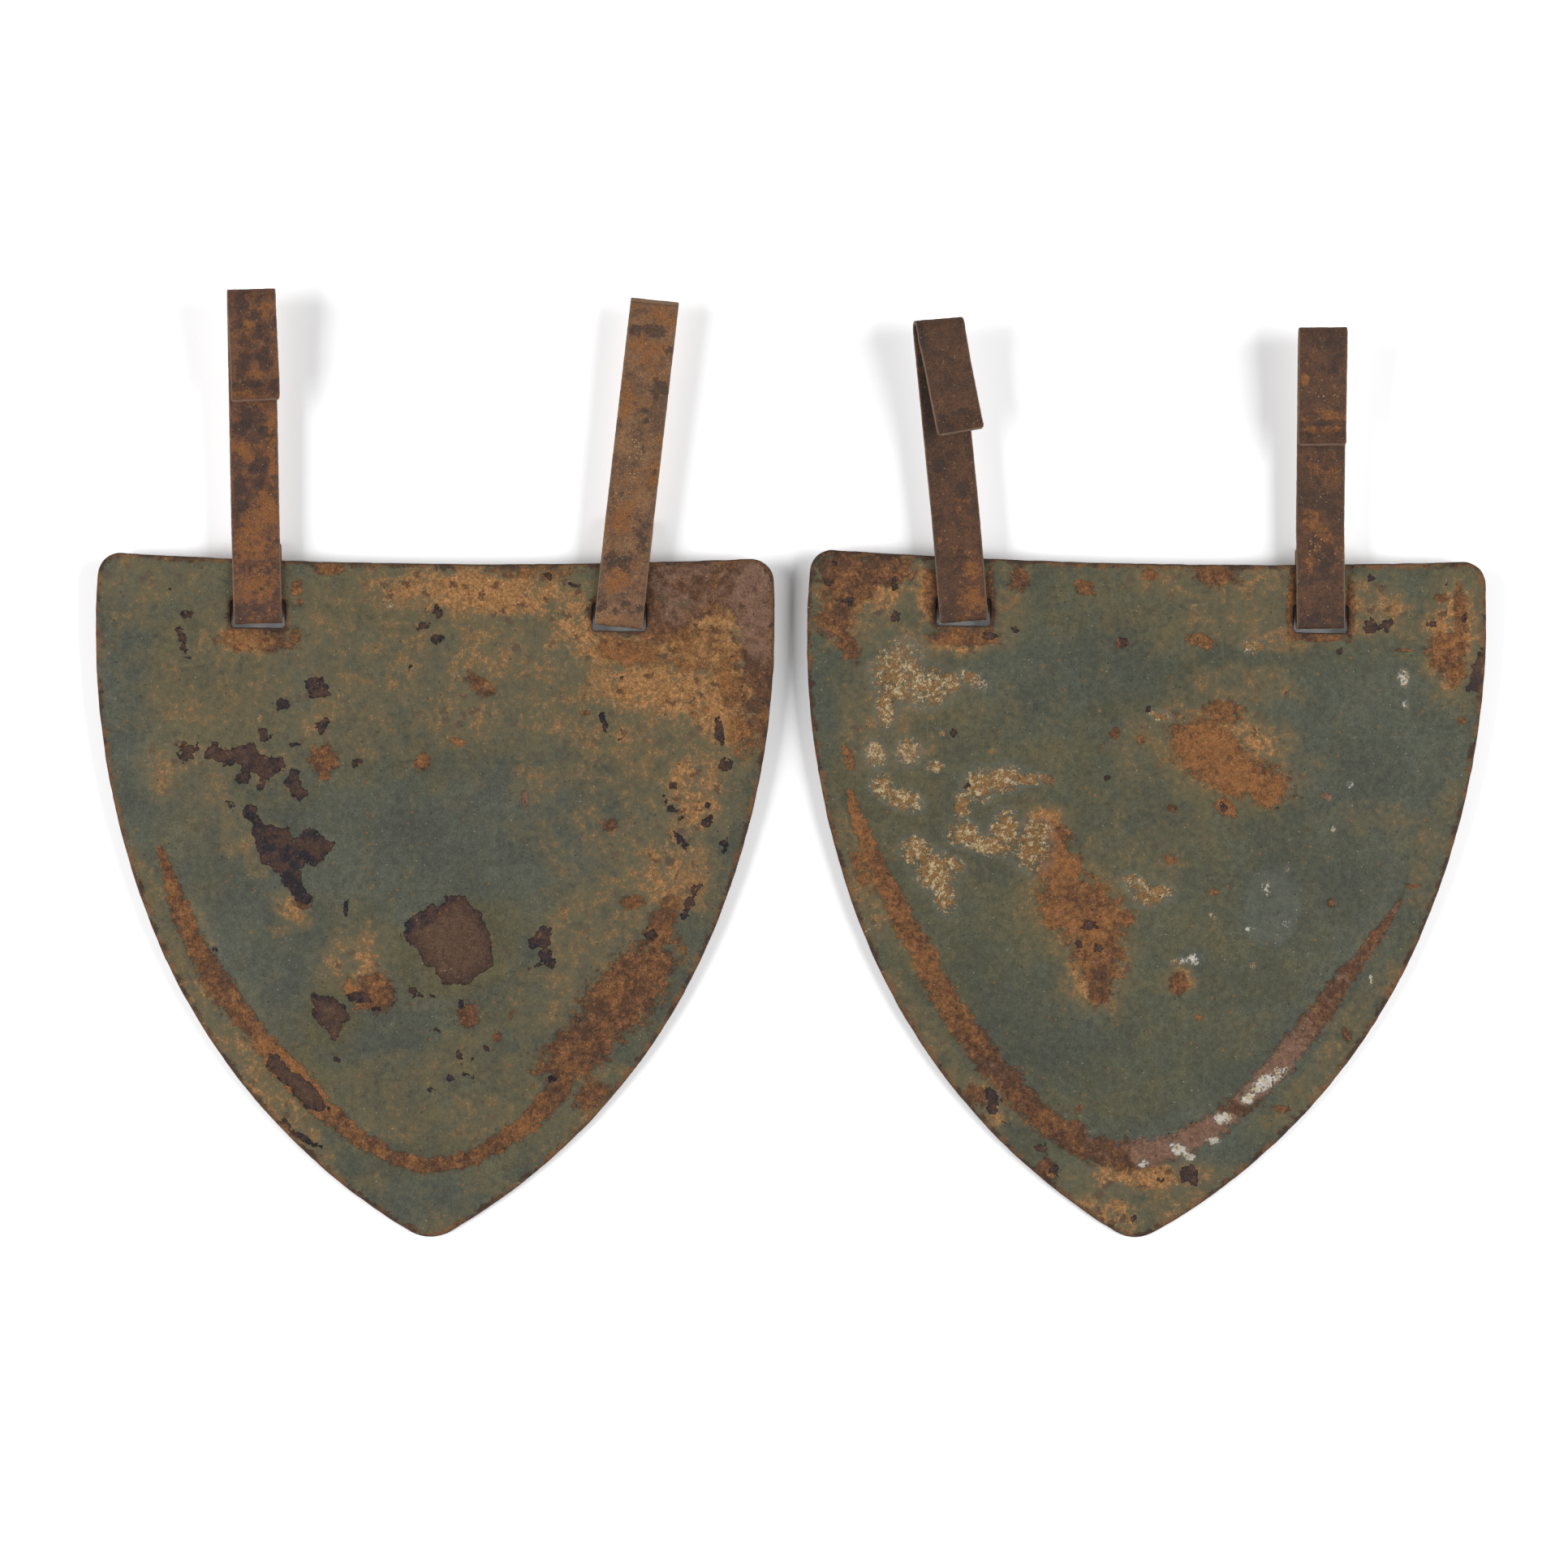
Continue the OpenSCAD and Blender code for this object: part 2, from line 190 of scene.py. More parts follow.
# The two guards' plates are shields of one millimetre sheet steel, cut out, pressed and painted.
# A flat border runs round a low domed field, and a crease lifts the lower part of the field.
# Two slots under the top edge take the straps. Both plates have the same outline.
plate_w, upper_side_r, lower_side_r, side_bend = 140.0, 166.0, 128.0, radians(22)
shoulder_h, corner_r, tip_r, top_sag = 15.2, 4.7, 8.2, 1.9
plate_t, border_w, crease_w = 1.0, 8.0, 5.0
crease_rise, crease_top_y, crease_fade = 0.85, -35.0, 35.0
dome_rise, dome_fade, field_end_r = 2.2, 35.0, 16.0
land_h, slot_w, slot_h, slot_corner_r = 8.4, 11.0, 5.7, 0.8
slot_corner_step, outline_step = 0.3, 0.5
pair_gap, pair_mid_y = 6.5, -27.954
slot_lift, lifted_slot_x = 3.0, -36.5


def toward(a):
    return np.array([cos(a), sin(a)])


upper_c = np.array([plate_w / 2 - upper_side_r, 0.0])
lower_c = upper_c + (upper_side_r - lower_side_r) * toward(-side_bend)
top_edge_r = ((plate_w / 2) ** 2 + top_sag ** 2) / (2 * top_sag)
top_c = np.array([0.0, shoulder_h - top_sag + top_edge_r])
tip_c = np.array([0.0, lower_c[1] - sqrt((lower_side_r - tip_r) ** 2 - lower_c[0] ** 2)])
tip_depth = tip_r - tip_c[1]
field_reach = plate_w / 2 - border_w - crease_w


def crossing(a, ra, b, rb):
    """The lower right crossing of two circles."""
    apart = np.linalg.norm(b - a)
    along = (apart ** 2 + ra ** 2 - rb ** 2) / (2 * apart)
    way = (b - a) / apart
    return a + along * way + sqrt(ra ** 2 - along ** 2) * np.array([way[1], -way[0]])


corner_c = crossing(upper_c, upper_side_r - corner_r, top_c, top_edge_r + corner_r)


def top_edge_y(x):
    return top_c[1] - sqrt(top_edge_r ** 2 - x * x)


def slot_mid_y(x):
    return top_edge_y(x) - land_h - slot_h / 2


flat_top_y = top_edge_y(0) - land_h - slot_h
tip_angle = asin(slot_lift / (tip_depth + slot_mid_y(lifted_slot_x)))
plate_lift = tip_depth * sin(tip_angle)


def heading(start, end):
    return atan2(end[1] - start[1], end[0] - start[0])


def arc(centre, r, start, end, step):
    """Points round an arc, without its last one."""
    count = max(2, ceil(abs(end - start) * r / step))
    turn = start + (end - start) * np.arange(count) / count
    return centre + r * np.column_stack([np.cos(turn), np.sin(turn)])


def plate_outline(step):
    tip_side, corner_side = heading(lower_c, tip_c), heading(upper_c, corner_c)
    half = np.vstack([
        arc(tip_c, tip_r, -pi / 2, tip_side, step),
        arc(lower_c, lower_side_r, tip_side, -side_bend, step),
        arc(upper_c, upper_side_r, -side_bend, corner_side, step),
        arc(corner_c, corner_r, corner_side, heading(corner_c, top_c), step),
        arc(top_c, top_edge_r, heading(top_c, corner_c), -pi / 2, step),
        [[0.0, top_edge_y(0)]],
    ])
    return np.vstack([half, half[-2:0:-1] * [-1, 1]])


def slot_outline(x, step):
    middle = np.array([x, slot_mid_y(x)])
    reach = np.array([slot_w / 2 - slot_corner_r, slot_h / 2 - slot_corner_r])
    points = []
    for quarter, (sx, sy) in enumerate([(1, 1), (-1, 1), (-1, -1), (1, -1)]):
        start = quarter * pi / 2
        corner = middle + reach * [sx, sy]
        bend = arc(corner, slot_corner_r, start, start + pi / 2, slot_corner_step)
        points += [*bend, corner + slot_corner_r * toward(start + pi / 2)]
    loop = []
    for a, b in zip(points, points[1:] + points[:1]):
        parts = max(1, ceil(np.linalg.norm(b - a) / step))
        loop += [a + (b - a) * i / parts for i in range(parts)]
    return np.array(loop)


def smooth(t):
    t = np.clip(t, 0, 1)
    return t * t * (3 - 2 * t)


def sides_inset(x, y):
    """Distances inside the right and the left side, of points given as two arrays."""
    found = []
    for px in (x, -x):
        upper = upper_side_r - np.hypot(px - upper_c[0], y - upper_c[1])
        lower = lower_side_r - np.hypot(px - lower_c[0], y - lower_c[1])
        found.append(np.where(y > -tan(side_bend) * (px - upper_c[0]), upper, lower))
    return found


def edge_distance(x, y, slots):
    """Distance from the nearest edge of the sheet, positive inside it."""
    right, left = sides_inset(x, y)
    top = np.hypot(x - top_c[0], y - top_c[1]) - top_edge_r
    inside = np.minimum(np.minimum(right, left), top)
    px = np.abs(x)
    corner_way = np.arctan2(y - corner_c[1], px - corner_c[0])
    in_corner = (corner_way > heading(upper_c, corner_c)) & (corner_way < heading(corner_c, top_c))
    inside = np.where(in_corner, corner_r - np.hypot(px - corner_c[0], y - corner_c[1]), inside)
    in_tip = np.arctan2(y - tip_c[1], px) < heading(lower_c, tip_c)
    inside = np.where(in_tip, tip_r - np.hypot(px, y - tip_c[1]), inside)
    for slot_x in slots:
        qx = np.abs(x - slot_x) - slot_w / 2 + slot_corner_r
        qy = np.abs(y - slot_mid_y(slot_x)) - slot_h / 2 + slot_corner_r
        clear = np.hypot(np.maximum(qx, 0), np.maximum(qy, 0)) + np.minimum(np.maximum(qx, qy), 0)
        inside = np.minimum(inside, clear - slot_corner_r)
    return inside


def relief(x, y):
    """Height of the pressed field above the border."""
    right, left = sides_inset(x, y)
    near = np.maximum(field_end_r - np.abs(right - left), 0)
    deep = np.minimum(right, left) - near ** 2 / (4 * field_end_r) - border_w
    crease = crease_rise * smooth(deep / crease_w) * smooth((crease_top_y - y) / crease_fade)
    run = np.clip(deep / field_reach, 0, 1)
    return crease + dome_rise * (1 - (1 - run) ** 2) * smooth((flat_top_y - y) / dome_fade)


def waves(x, y, size, seed, octaves=3):
    """Smooth noise from 0 to 1, with features of about that size."""
    total, weight = np.zeros(len(x)), 0.0
    for octave in range(octaves):
        grid = np.random.default_rng(seed * 31 + octave).random((64, 64))
        u, v = x / size * 2 ** octave + 17.3, y / size * 2 ** octave + 9.1
        i, j = np.floor(u).astype(int), np.floor(v).astype(int)
        fu, fv = smooth(u - i), smooth(v - j)
        low = grid[i % 64, j % 64] * (1 - fu) + grid[(i + 1) % 64, j % 64] * fu
        high = grid[i % 64, (j + 1) % 64] * (1 - fu) + grid[(i + 1) % 64, (j + 1) % 64] * fu
        total += (low * (1 - fv) + high * fv) * 0.5 ** octave
        weight += 0.5 ** octave
    return total / weight


# Wear is a set of marks at places of their own on each plate, in millimetres from its middle.
# A mark is an ellipse (x, y, half width, half height, turn in degrees, strength). Chips are
# many-sided shapes, spots are small oval chips, and a band is a path (x, y, half width).
mark_slope, strongest_mark = 0.9, 2
no_chip, deepest_chip = -3, 7


def from_mark(x, y, mark):
    """0 at the middle of a mark's ellipse, and 1 on its rim."""
    mx, my, rx, ry, turn = mark[:5]
    c, s = cos(radians(turn)), sin(radians(turn))
    return np.hypot(((x - mx) * c + (y - my) * s) / rx, ((y - my) * c - (x - mx) * s) / ry)


def from_line(x, y, a, b):
    """Distance from a straight line between two points, and the share of it passed by then."""
    (ax, ay), (bx, by) = a[:2], b[:2]
    t = ((x - ax) * (bx - ax) + (y - ay) * (by - ay)) / ((bx - ax) ** 2 + (by - ay) ** 2)
    t = np.clip(t, 0, 1)
    return np.hypot(x - ax - t * (bx - ax), y - ay - t * (by - ay)), t


def marked(x, y, marks):
    """Strength of a set of soft marks, one half at each mark's rim."""
    field = np.zeros(len(x))
    for mark in marks:
        field = np.maximum(field, np.minimum(mark[5], 0.5 + mark_slope * (1 - from_mark(x, y, mark))))
    return np.clip(field, 0, strongest_mark)


def banded(x, y, path):
    """Strength of a soft band through points (x, y, half width)."""
    field = np.zeros(len(x))
    for a, b in zip(path, path[1:]):
        off, t = from_line(x, y, a, b)
        field = np.maximum(field, 0.5 + mark_slope * (1 - off / (a[2] + t * (b[2] - a[2]))))
    return np.clip(field, 0, strongest_mark)


def inside_shape(x, y, corners):
    """Distance inside a many-sided shape, in millimetres, negative outside it."""
    away, inside = np.full(len(x), np.inf), np.zeros(len(x), bool)
    for a, b in zip(corners, corners[1:] + corners[:1]):
        away = np.minimum(away, from_line(x, y, a, b)[0])
        if a[1] != b[1]:
            crossed = x < (b[0] - a[0]) * (y - a[1]) / (b[1] - a[1]) + a[0]
            inside ^= ((a[1] > y) != (b[1] > y)) & crossed
    return np.where(inside, away, -away)


def chipped(x, y, shapes, spots):
    """Distance inside the nearest chip of the paint, of many-sided shapes and of ellipses."""
    field = np.full(len(x), float(no_chip))
    for shape in shapes:
        field = np.maximum(field, inside_shape(x, y, shape))
    for spot in spots:
        field = np.maximum(field, (1 - from_mark(x, y, spot)) * min(spot[2:4]))
    return np.clip(field, no_chip, deepest_chip)


# The left plate's marks
left_marks = {
    "slots": (-36.5, 37.9),
    "turn": -0.55,
    "side": -1,
    "seed": 3,
    "chips": [
        [(-26.8, -11), (-25, -9.8), (-22.8, -10.6), (-21.6, -13.8), (-23, -14.3), (-25, -14.5), (-27, -13)],
        [(-32, -14.6), (-31, -15.2), (-30, -15), (-30, -16.7), (-31.5, -16.9), (-32.2, -17.6),
         (-32.7, -17)],
        [(-22.6, -18.8), (-21.5, -19.8), (-22.8, -21.3), (-23.3, -23.3), (-23.8, -22.8), (-24.2, -20.8)],
        [(-47, -24.7), (-45.6, -23.9), (-44, -25), (-39, -24.8), (-37.6, -23.9), (-36, -25.8),
         (-33.5, -26.9), (-31.2, -27.2), (-30.5, -29), (-32.5, -30.2), (-34, -31.6), (-35, -33.8),
         (-36.3, -33.6), (-35.8, -30.4), (-37.9, -30), (-37.8, -32.7), (-39.5, -32.4), (-41.2, -31.3),
         (-39.9, -30.2), (-40.4, -28.6), (-44, -28), (-47.3, -27.2)],
        [(-29, -28.9), (-27.8, -29.6), (-27.3, -32.6), (-25.9, -34.4), (-27.4, -35.7), (-29.5, -34.1),
         (-31, -31.6), (-30, -30.9)],
        [(-38.5, -36.5), (-36.7, -36.8), (-35, -40.4), (-31, -41.4), (-29.6, -41.3), (-28.7, -44.4),
         (-26.8, -42.2), (-24.8, -41.1), (-22, -43.4), (-20, -45), (-21.5, -47), (-24.5, -49.4),
         (-25.6, -48), (-27.5, -50), (-26, -54), (-24.4, -57), (-26.5, -57.6), (-29.5, -54.5),
         (-31.5, -51), (-34, -49.3), (-35.6, -48.6), (-36.3, -46), (-37.2, -42.6), (-37, -40.2),
         (-39.6, -38.9)],
        [(-4.6, -59.4), (-2.6, -58.5), (-0.6, -57.1), (2, -56.9), (2.8, -55.3), (7, -55.1), (7.5, -57),
         (10, -58.4), (11.5, -61.2), (12.2, -64.2), (13, -66.6), (12.7, -69.6), (9.6, -70.9), (8.2, -72.4),
         (4.5, -73.5), (2.1, -72.4), (0.4, -70.4), (-1.6, -69.4), (-2.9, -66.4), (-4.6, -65),
         (-6.1, -62.9)],
        [(23, -61), (24.2, -62), (23.9, -66.4), (25.3, -68.4), (24.9, -70.2), (22.8, -69), (20.5, -70.4),
         (20.2, -69.5), (22.2, -68.3), (22.3, -65.8), (19.9, -65.4), (21.4, -62.5)],
        [(-24.2, -75.3), (-21, -76), (-18.5, -77.4), (-16.8, -80.2), (-18.4, -82.5), (-20.1, -85.8),
         (-22, -83), (-23, -81.6), (-24.4, -79.5)],
        [(-33.4, -87.4), (-31, -88.4), (-28.8, -91.1), (-25.8, -93), (-22.9, -96), (-20.8, -99.2),
         (-23, -99.8), (-26.5, -98.6), (-29, -95), (-32, -92.6), (-34.2, -90)],
        [(55.5, -52), (53.8, -56), (52.4, -59.6), (51, -59.8), (51.8, -56.5), (53.6, -53)],
    ],
    "spots": [
        (58.8, -20.5, 0.8, 2.6, 6), (60.2, -27.6, 1.2, 0.9, 0), (-51, -25.2, 2.4, 1, 0),
        (-50.8, -27, 1.6, 0.9, 0), (-51.6, -4, 0.9, 2, 10), (-52.7, -1.3, 0.6, 0.9, 0),
        (-51.7, 2.4, 0.7, 0.7, 0), (-50.2, 2.6, 0.4, 0.8, 0), (-54.7, 7.3, 0.5, 0.5, 0),
        (-35, -22, 0.8, 1.3, -20), (-33.4, -22.4, 0.3, 0.8, -20), (-28, -24.2, 0.9, 0.5, 0),
        (-42, -37, 1.1, 0.5, -30), (-16, -28, 1, 0.7, 20), (-2.6, 0.1, 1.2, 0.7, 10),
        (0.4, 3, 1.1, 1.4, 0), (1, -2.2, 1.3, 0.6, -10), (23.3, 10.9, 0.9, 0.7, -20),
        (28.7, 9, 0.8, 0.5, -20), (38.2, -9.6, 0.7, 0.5, 0), (35, -19, 0.6, 1.3, 10),
        (38, -22.6, 0.5, 0.4, 0), (49, -32, 1.1, 0.7, 0), (47.6, -34.6, 0.6, 0.7, 0),
        (49.2, -37, 0.7, 0.5, 0), (56.3, -39.4, 0.9, 0.8, 0), (56.6, -35.7, 0.6, 0.6, 0),
        (51.4, -43.4, 0.8, 1.6, 30), (50.6, -39.6, 0.4, 1.2, -20), (60.2, -45, 0.8, 1.2, 0),
        (-17.7, -58, 0.4, 1, 0), (-3.6, -74.6, 0.5, 0.5, 0), (-2.1, -75.6, 0.8, 0.35, 0),
        (0, -75.7, 0.8, 0.45, 0), (6.2, -77.3, 0.6, 1.1, 0), (1, -82.6, 0.5, 0.4, 20),
        (5.8, -88.6, 0.5, 1.3, 10), (8.4, -89, 0.5, 1.1, -10), (11.1, -86.3, 0.6, 0.4, 30),
        (7.2, -91.8, 0.5, 0.3, 0), (8.3, -92.4, 0.5, 0.3, 0), (3.8, -92.2, 0.25, 0.3, 0),
        (0, -95.2, 0.3, 0.6, 0), (10.6, -98.4, 0.4, 0.6, 0), (45, -62.5, 1.1, 0.9, 0),
        (-45, -66.5, 0.7, 0.6, 0), (-30, -102, 1.2, 0.8, -30), (-27, -105, 2, 0.7, -30),
        (-23, -107, 1.2, 0.6, -30), (-5, -8, 0.3, 0.3, 0), (-19.5, -89, 0.5, 0.6, 0),
        (25, -92.4, 0.8, 0.8, 0), (-15, -76.4, 2.2, 1.2, -10), (-11.6, -78.8, 1, 0.5, 0),
    ],
    "rust": [
        (-22.4, -27.4, 3.2, 3.0, 0, 1.5), (-22.6, -30.6, 1, 1, 0, 1), (-2.2, -27.6, 1.6, 1.7, -30, 1),
        (4.8, -23.4, 1.6, 0.9, -15, 0.95), (9.6, -11.6, 3.2, 1.6, -35, 0.9), (-11.8, -75.6, 4.4, 4, 10, 1),
        (-16.6, -74.5, 1.4, 2, 0, 0.9), (7.6, -79.8, 2.4, 2.9, 10, 0.8), (-22, 11.9, 3, 1.5, 0, 1),
        (-26.4, -57, 1.6, 1, 0, 0.9), (40, -75, 6.4, 14, -42, 1.3), (30, -87, 5.4, 9, -50, 1.2),
        (47, -61, 2.6, 6, -25, 1.1), (-36, -2.6, 8, 2.6, 0, 0.55), (57, 10, 16, 6.6, 0, 1.35),
        (66.5, -1, 3.8, 15, 4, 1.25), (47, 2, 6, 5, 0, 1.0), (55, -4, 12, 4, 0, 0.42),
        (64, -16, 3, 10, 0, 0.5), (40, -4.5, 6, 2.6, -10, 0.95), (68, -15, 1.6, 18, 4, 0.75),
        (33, -96, 4, 2.4, 40, 0.9), (20, 11.6, 9, 1, 0, 0.5), (36, -40, 2, 1.2, 0, 0.6),
        (19, -35, 0.6, 1.8, 10, 0.8), (13.5, -84, 1, 1.1, 0, 0.8), (16.5, -79.5, 0.4, 1.4, -20, 0.8),
        (41, -56, 2.4, 1.4, 0, 0.9), (-28.6, 8, 1.2, 1.6, 0, 0.75), (-28, 5, 0.9, 0.9, 0, 0.7),
        (60, -11, 1.6, 3.4, 0, 0.8), (31, -17.2, 0.9, 0.6, 0, 0.8), (56, -16.5, 0.8, 0.8, 0, 0.9),
        (53.5, -17.2, 0.8, 0.6, 0, 0.9),
    ],
    "band": [
        (-56.3, -46, 0.6), (-55, -50, 1.1), (-52.6, -57, 1.9), (-49.4, -64.4, 2.1), (-45.3, -71.4, 2.8),
        (-40.4, -78.6, 2.4), (-35.2, -85, 2.2), (-29, -92, 3), (-22.4, -99.2, 2.4), (-15, -105, 1.7),
        (-8, -109.2, 1.5), (0, -111, 1.6), (8, -109.4, 1.6), (15, -105.6, 1.9), (21, -101, 2.2),
        (27, -94, 2.6),
    ],
    "film": [
        (0, -6, 50, 17, 0, 0.42), (38, -30, 18, 22, 0, 0.42), (-40, -16, 18, 14, 0, 0.42),
        (24, -80, 12, 10, 0, 0.25), (-61, 10, 9, 5, 0, 0.5), (-38, -2.6, 11, 4, 0, 1.1),
        (9, 7.4, 27, 6.4, -2, 1.35), (30, 1, 9, 6, -40, 0.9), (38, -4, 12, 4.5, 0, 1.15),
        (54, -2, 16, 12, 0, 1.25), (48, -12, 22, 8, 0, 1.0), (60, -14, 9, 14, 0, 1.15),
        (40, -19, 18, 9, 0, 0.68), (54, -33, 7, 12, 0, 0.80), (49, -49, 10, 9, 0, 0.75),
        (-46, -13, 12, 9, 0, 0.48), (-50, -30, 9, 6, 0, 0.56), (-41, -40, 3, 7, 0, 0.54),
        (-29, -58.5, 4.5, 3, -40, 0.9), (-31, -62, 3, 1.4, 0, 0.58), (-16, -68, 6.6, 5.5, 20, 0.74),
        (12, -10, 22, 12, 0, 0.60), (-23, -14, 7, 12, 0, 0.5), (0, -96, 18, 7, 0, 0.34),
        (10, -101, 7, 5, 0, 0.56), (-9, -102, 6, 4, 0, 0.46), (20, -92, 14, 10, 20, 0.3),
        (34, -64, 9, 13, -20, 0.54), (22, -78, 6, 8, 0, 0.43), (-44, -84, 5, 16, 34, 0.66),
        (-30, -102, 5, 12, 42, 0.70), (-57, -58, 2.5, 12, 22, 0.48), (32, -99, 5, 10, -42, 0.42),
        (54, -64, 4, 14, -28, 0.18), (-8, -118, 8, 4, -20, 0.36), (10, -119, 8, 3, 24, 0.36),
        (0, 5, 8, 5, 0, 0.43), (-20, -2, 14, 4, 0, 0.48), (20, -4, 12, 5, 0, 0.48),
        (-62, 3, 5, 4, 0, 0.38), (37, -42, 6, 8, 0, 0.43), (5, -33, 4, 3, 0, 0.28),
        (-35, -46, 3.4, 5, -20, 0.48), (-48, -63, 2, 6, 25, 0.48),
    ],
    "pale": [
        (-9.2, 4.6, 0.8, 0.6, 0, 1.2), (4.6, -9.6, 0.8, 0.5, 0, 1.3), (10.4, -12.2, 0.4, 0.6, 0, 1.2),
        (19.6, -113.4, 2.2, 0.35, 36, 0.8), (-35.8, -18.8, 0.5, 0.9, 0, 1.2),
    ],
    "tone": [
        (-64, -20, 6, 24, 4, -0.9), (-2, -45, 26, 10, 0, -0.8), (-34, -64, 9, 12, 30, -0.7),
        (0, -118, 9, 4, 0, -0.9), (20, -40, 14, 9, 0, -0.7), (-10, -82, 10, 6, 0, -0.5),
        (-32, -12, 5, 4, 0, -0.6), (60, 8, 18, 12, 0, -0.74), (50, -6, 14, 5, 0, 0.8),
        (4.6, -65, 9, 8, 0, 1.0), (-2.6, -58.6, 4, 2.6, 30, -1.4), (-20, -79.6, 5, 6, 0, 1.0),
        (38, -79, 9, 22, -44, -0.1), (66.5, -6, 4, 14, 4, -0.8), (-47, -68, 5, 22, 32, 0.1),
        (-28, -94, 7, 5, -40, 1.0), (0, -98, 24, 8, 0, 0.2), (50, -18, 18, 11, 0, 0.5),
        (8, 6, 26, 6, 0, 0.7), (-46, -14, 12, 14, 0, 0.6),
    ],
}

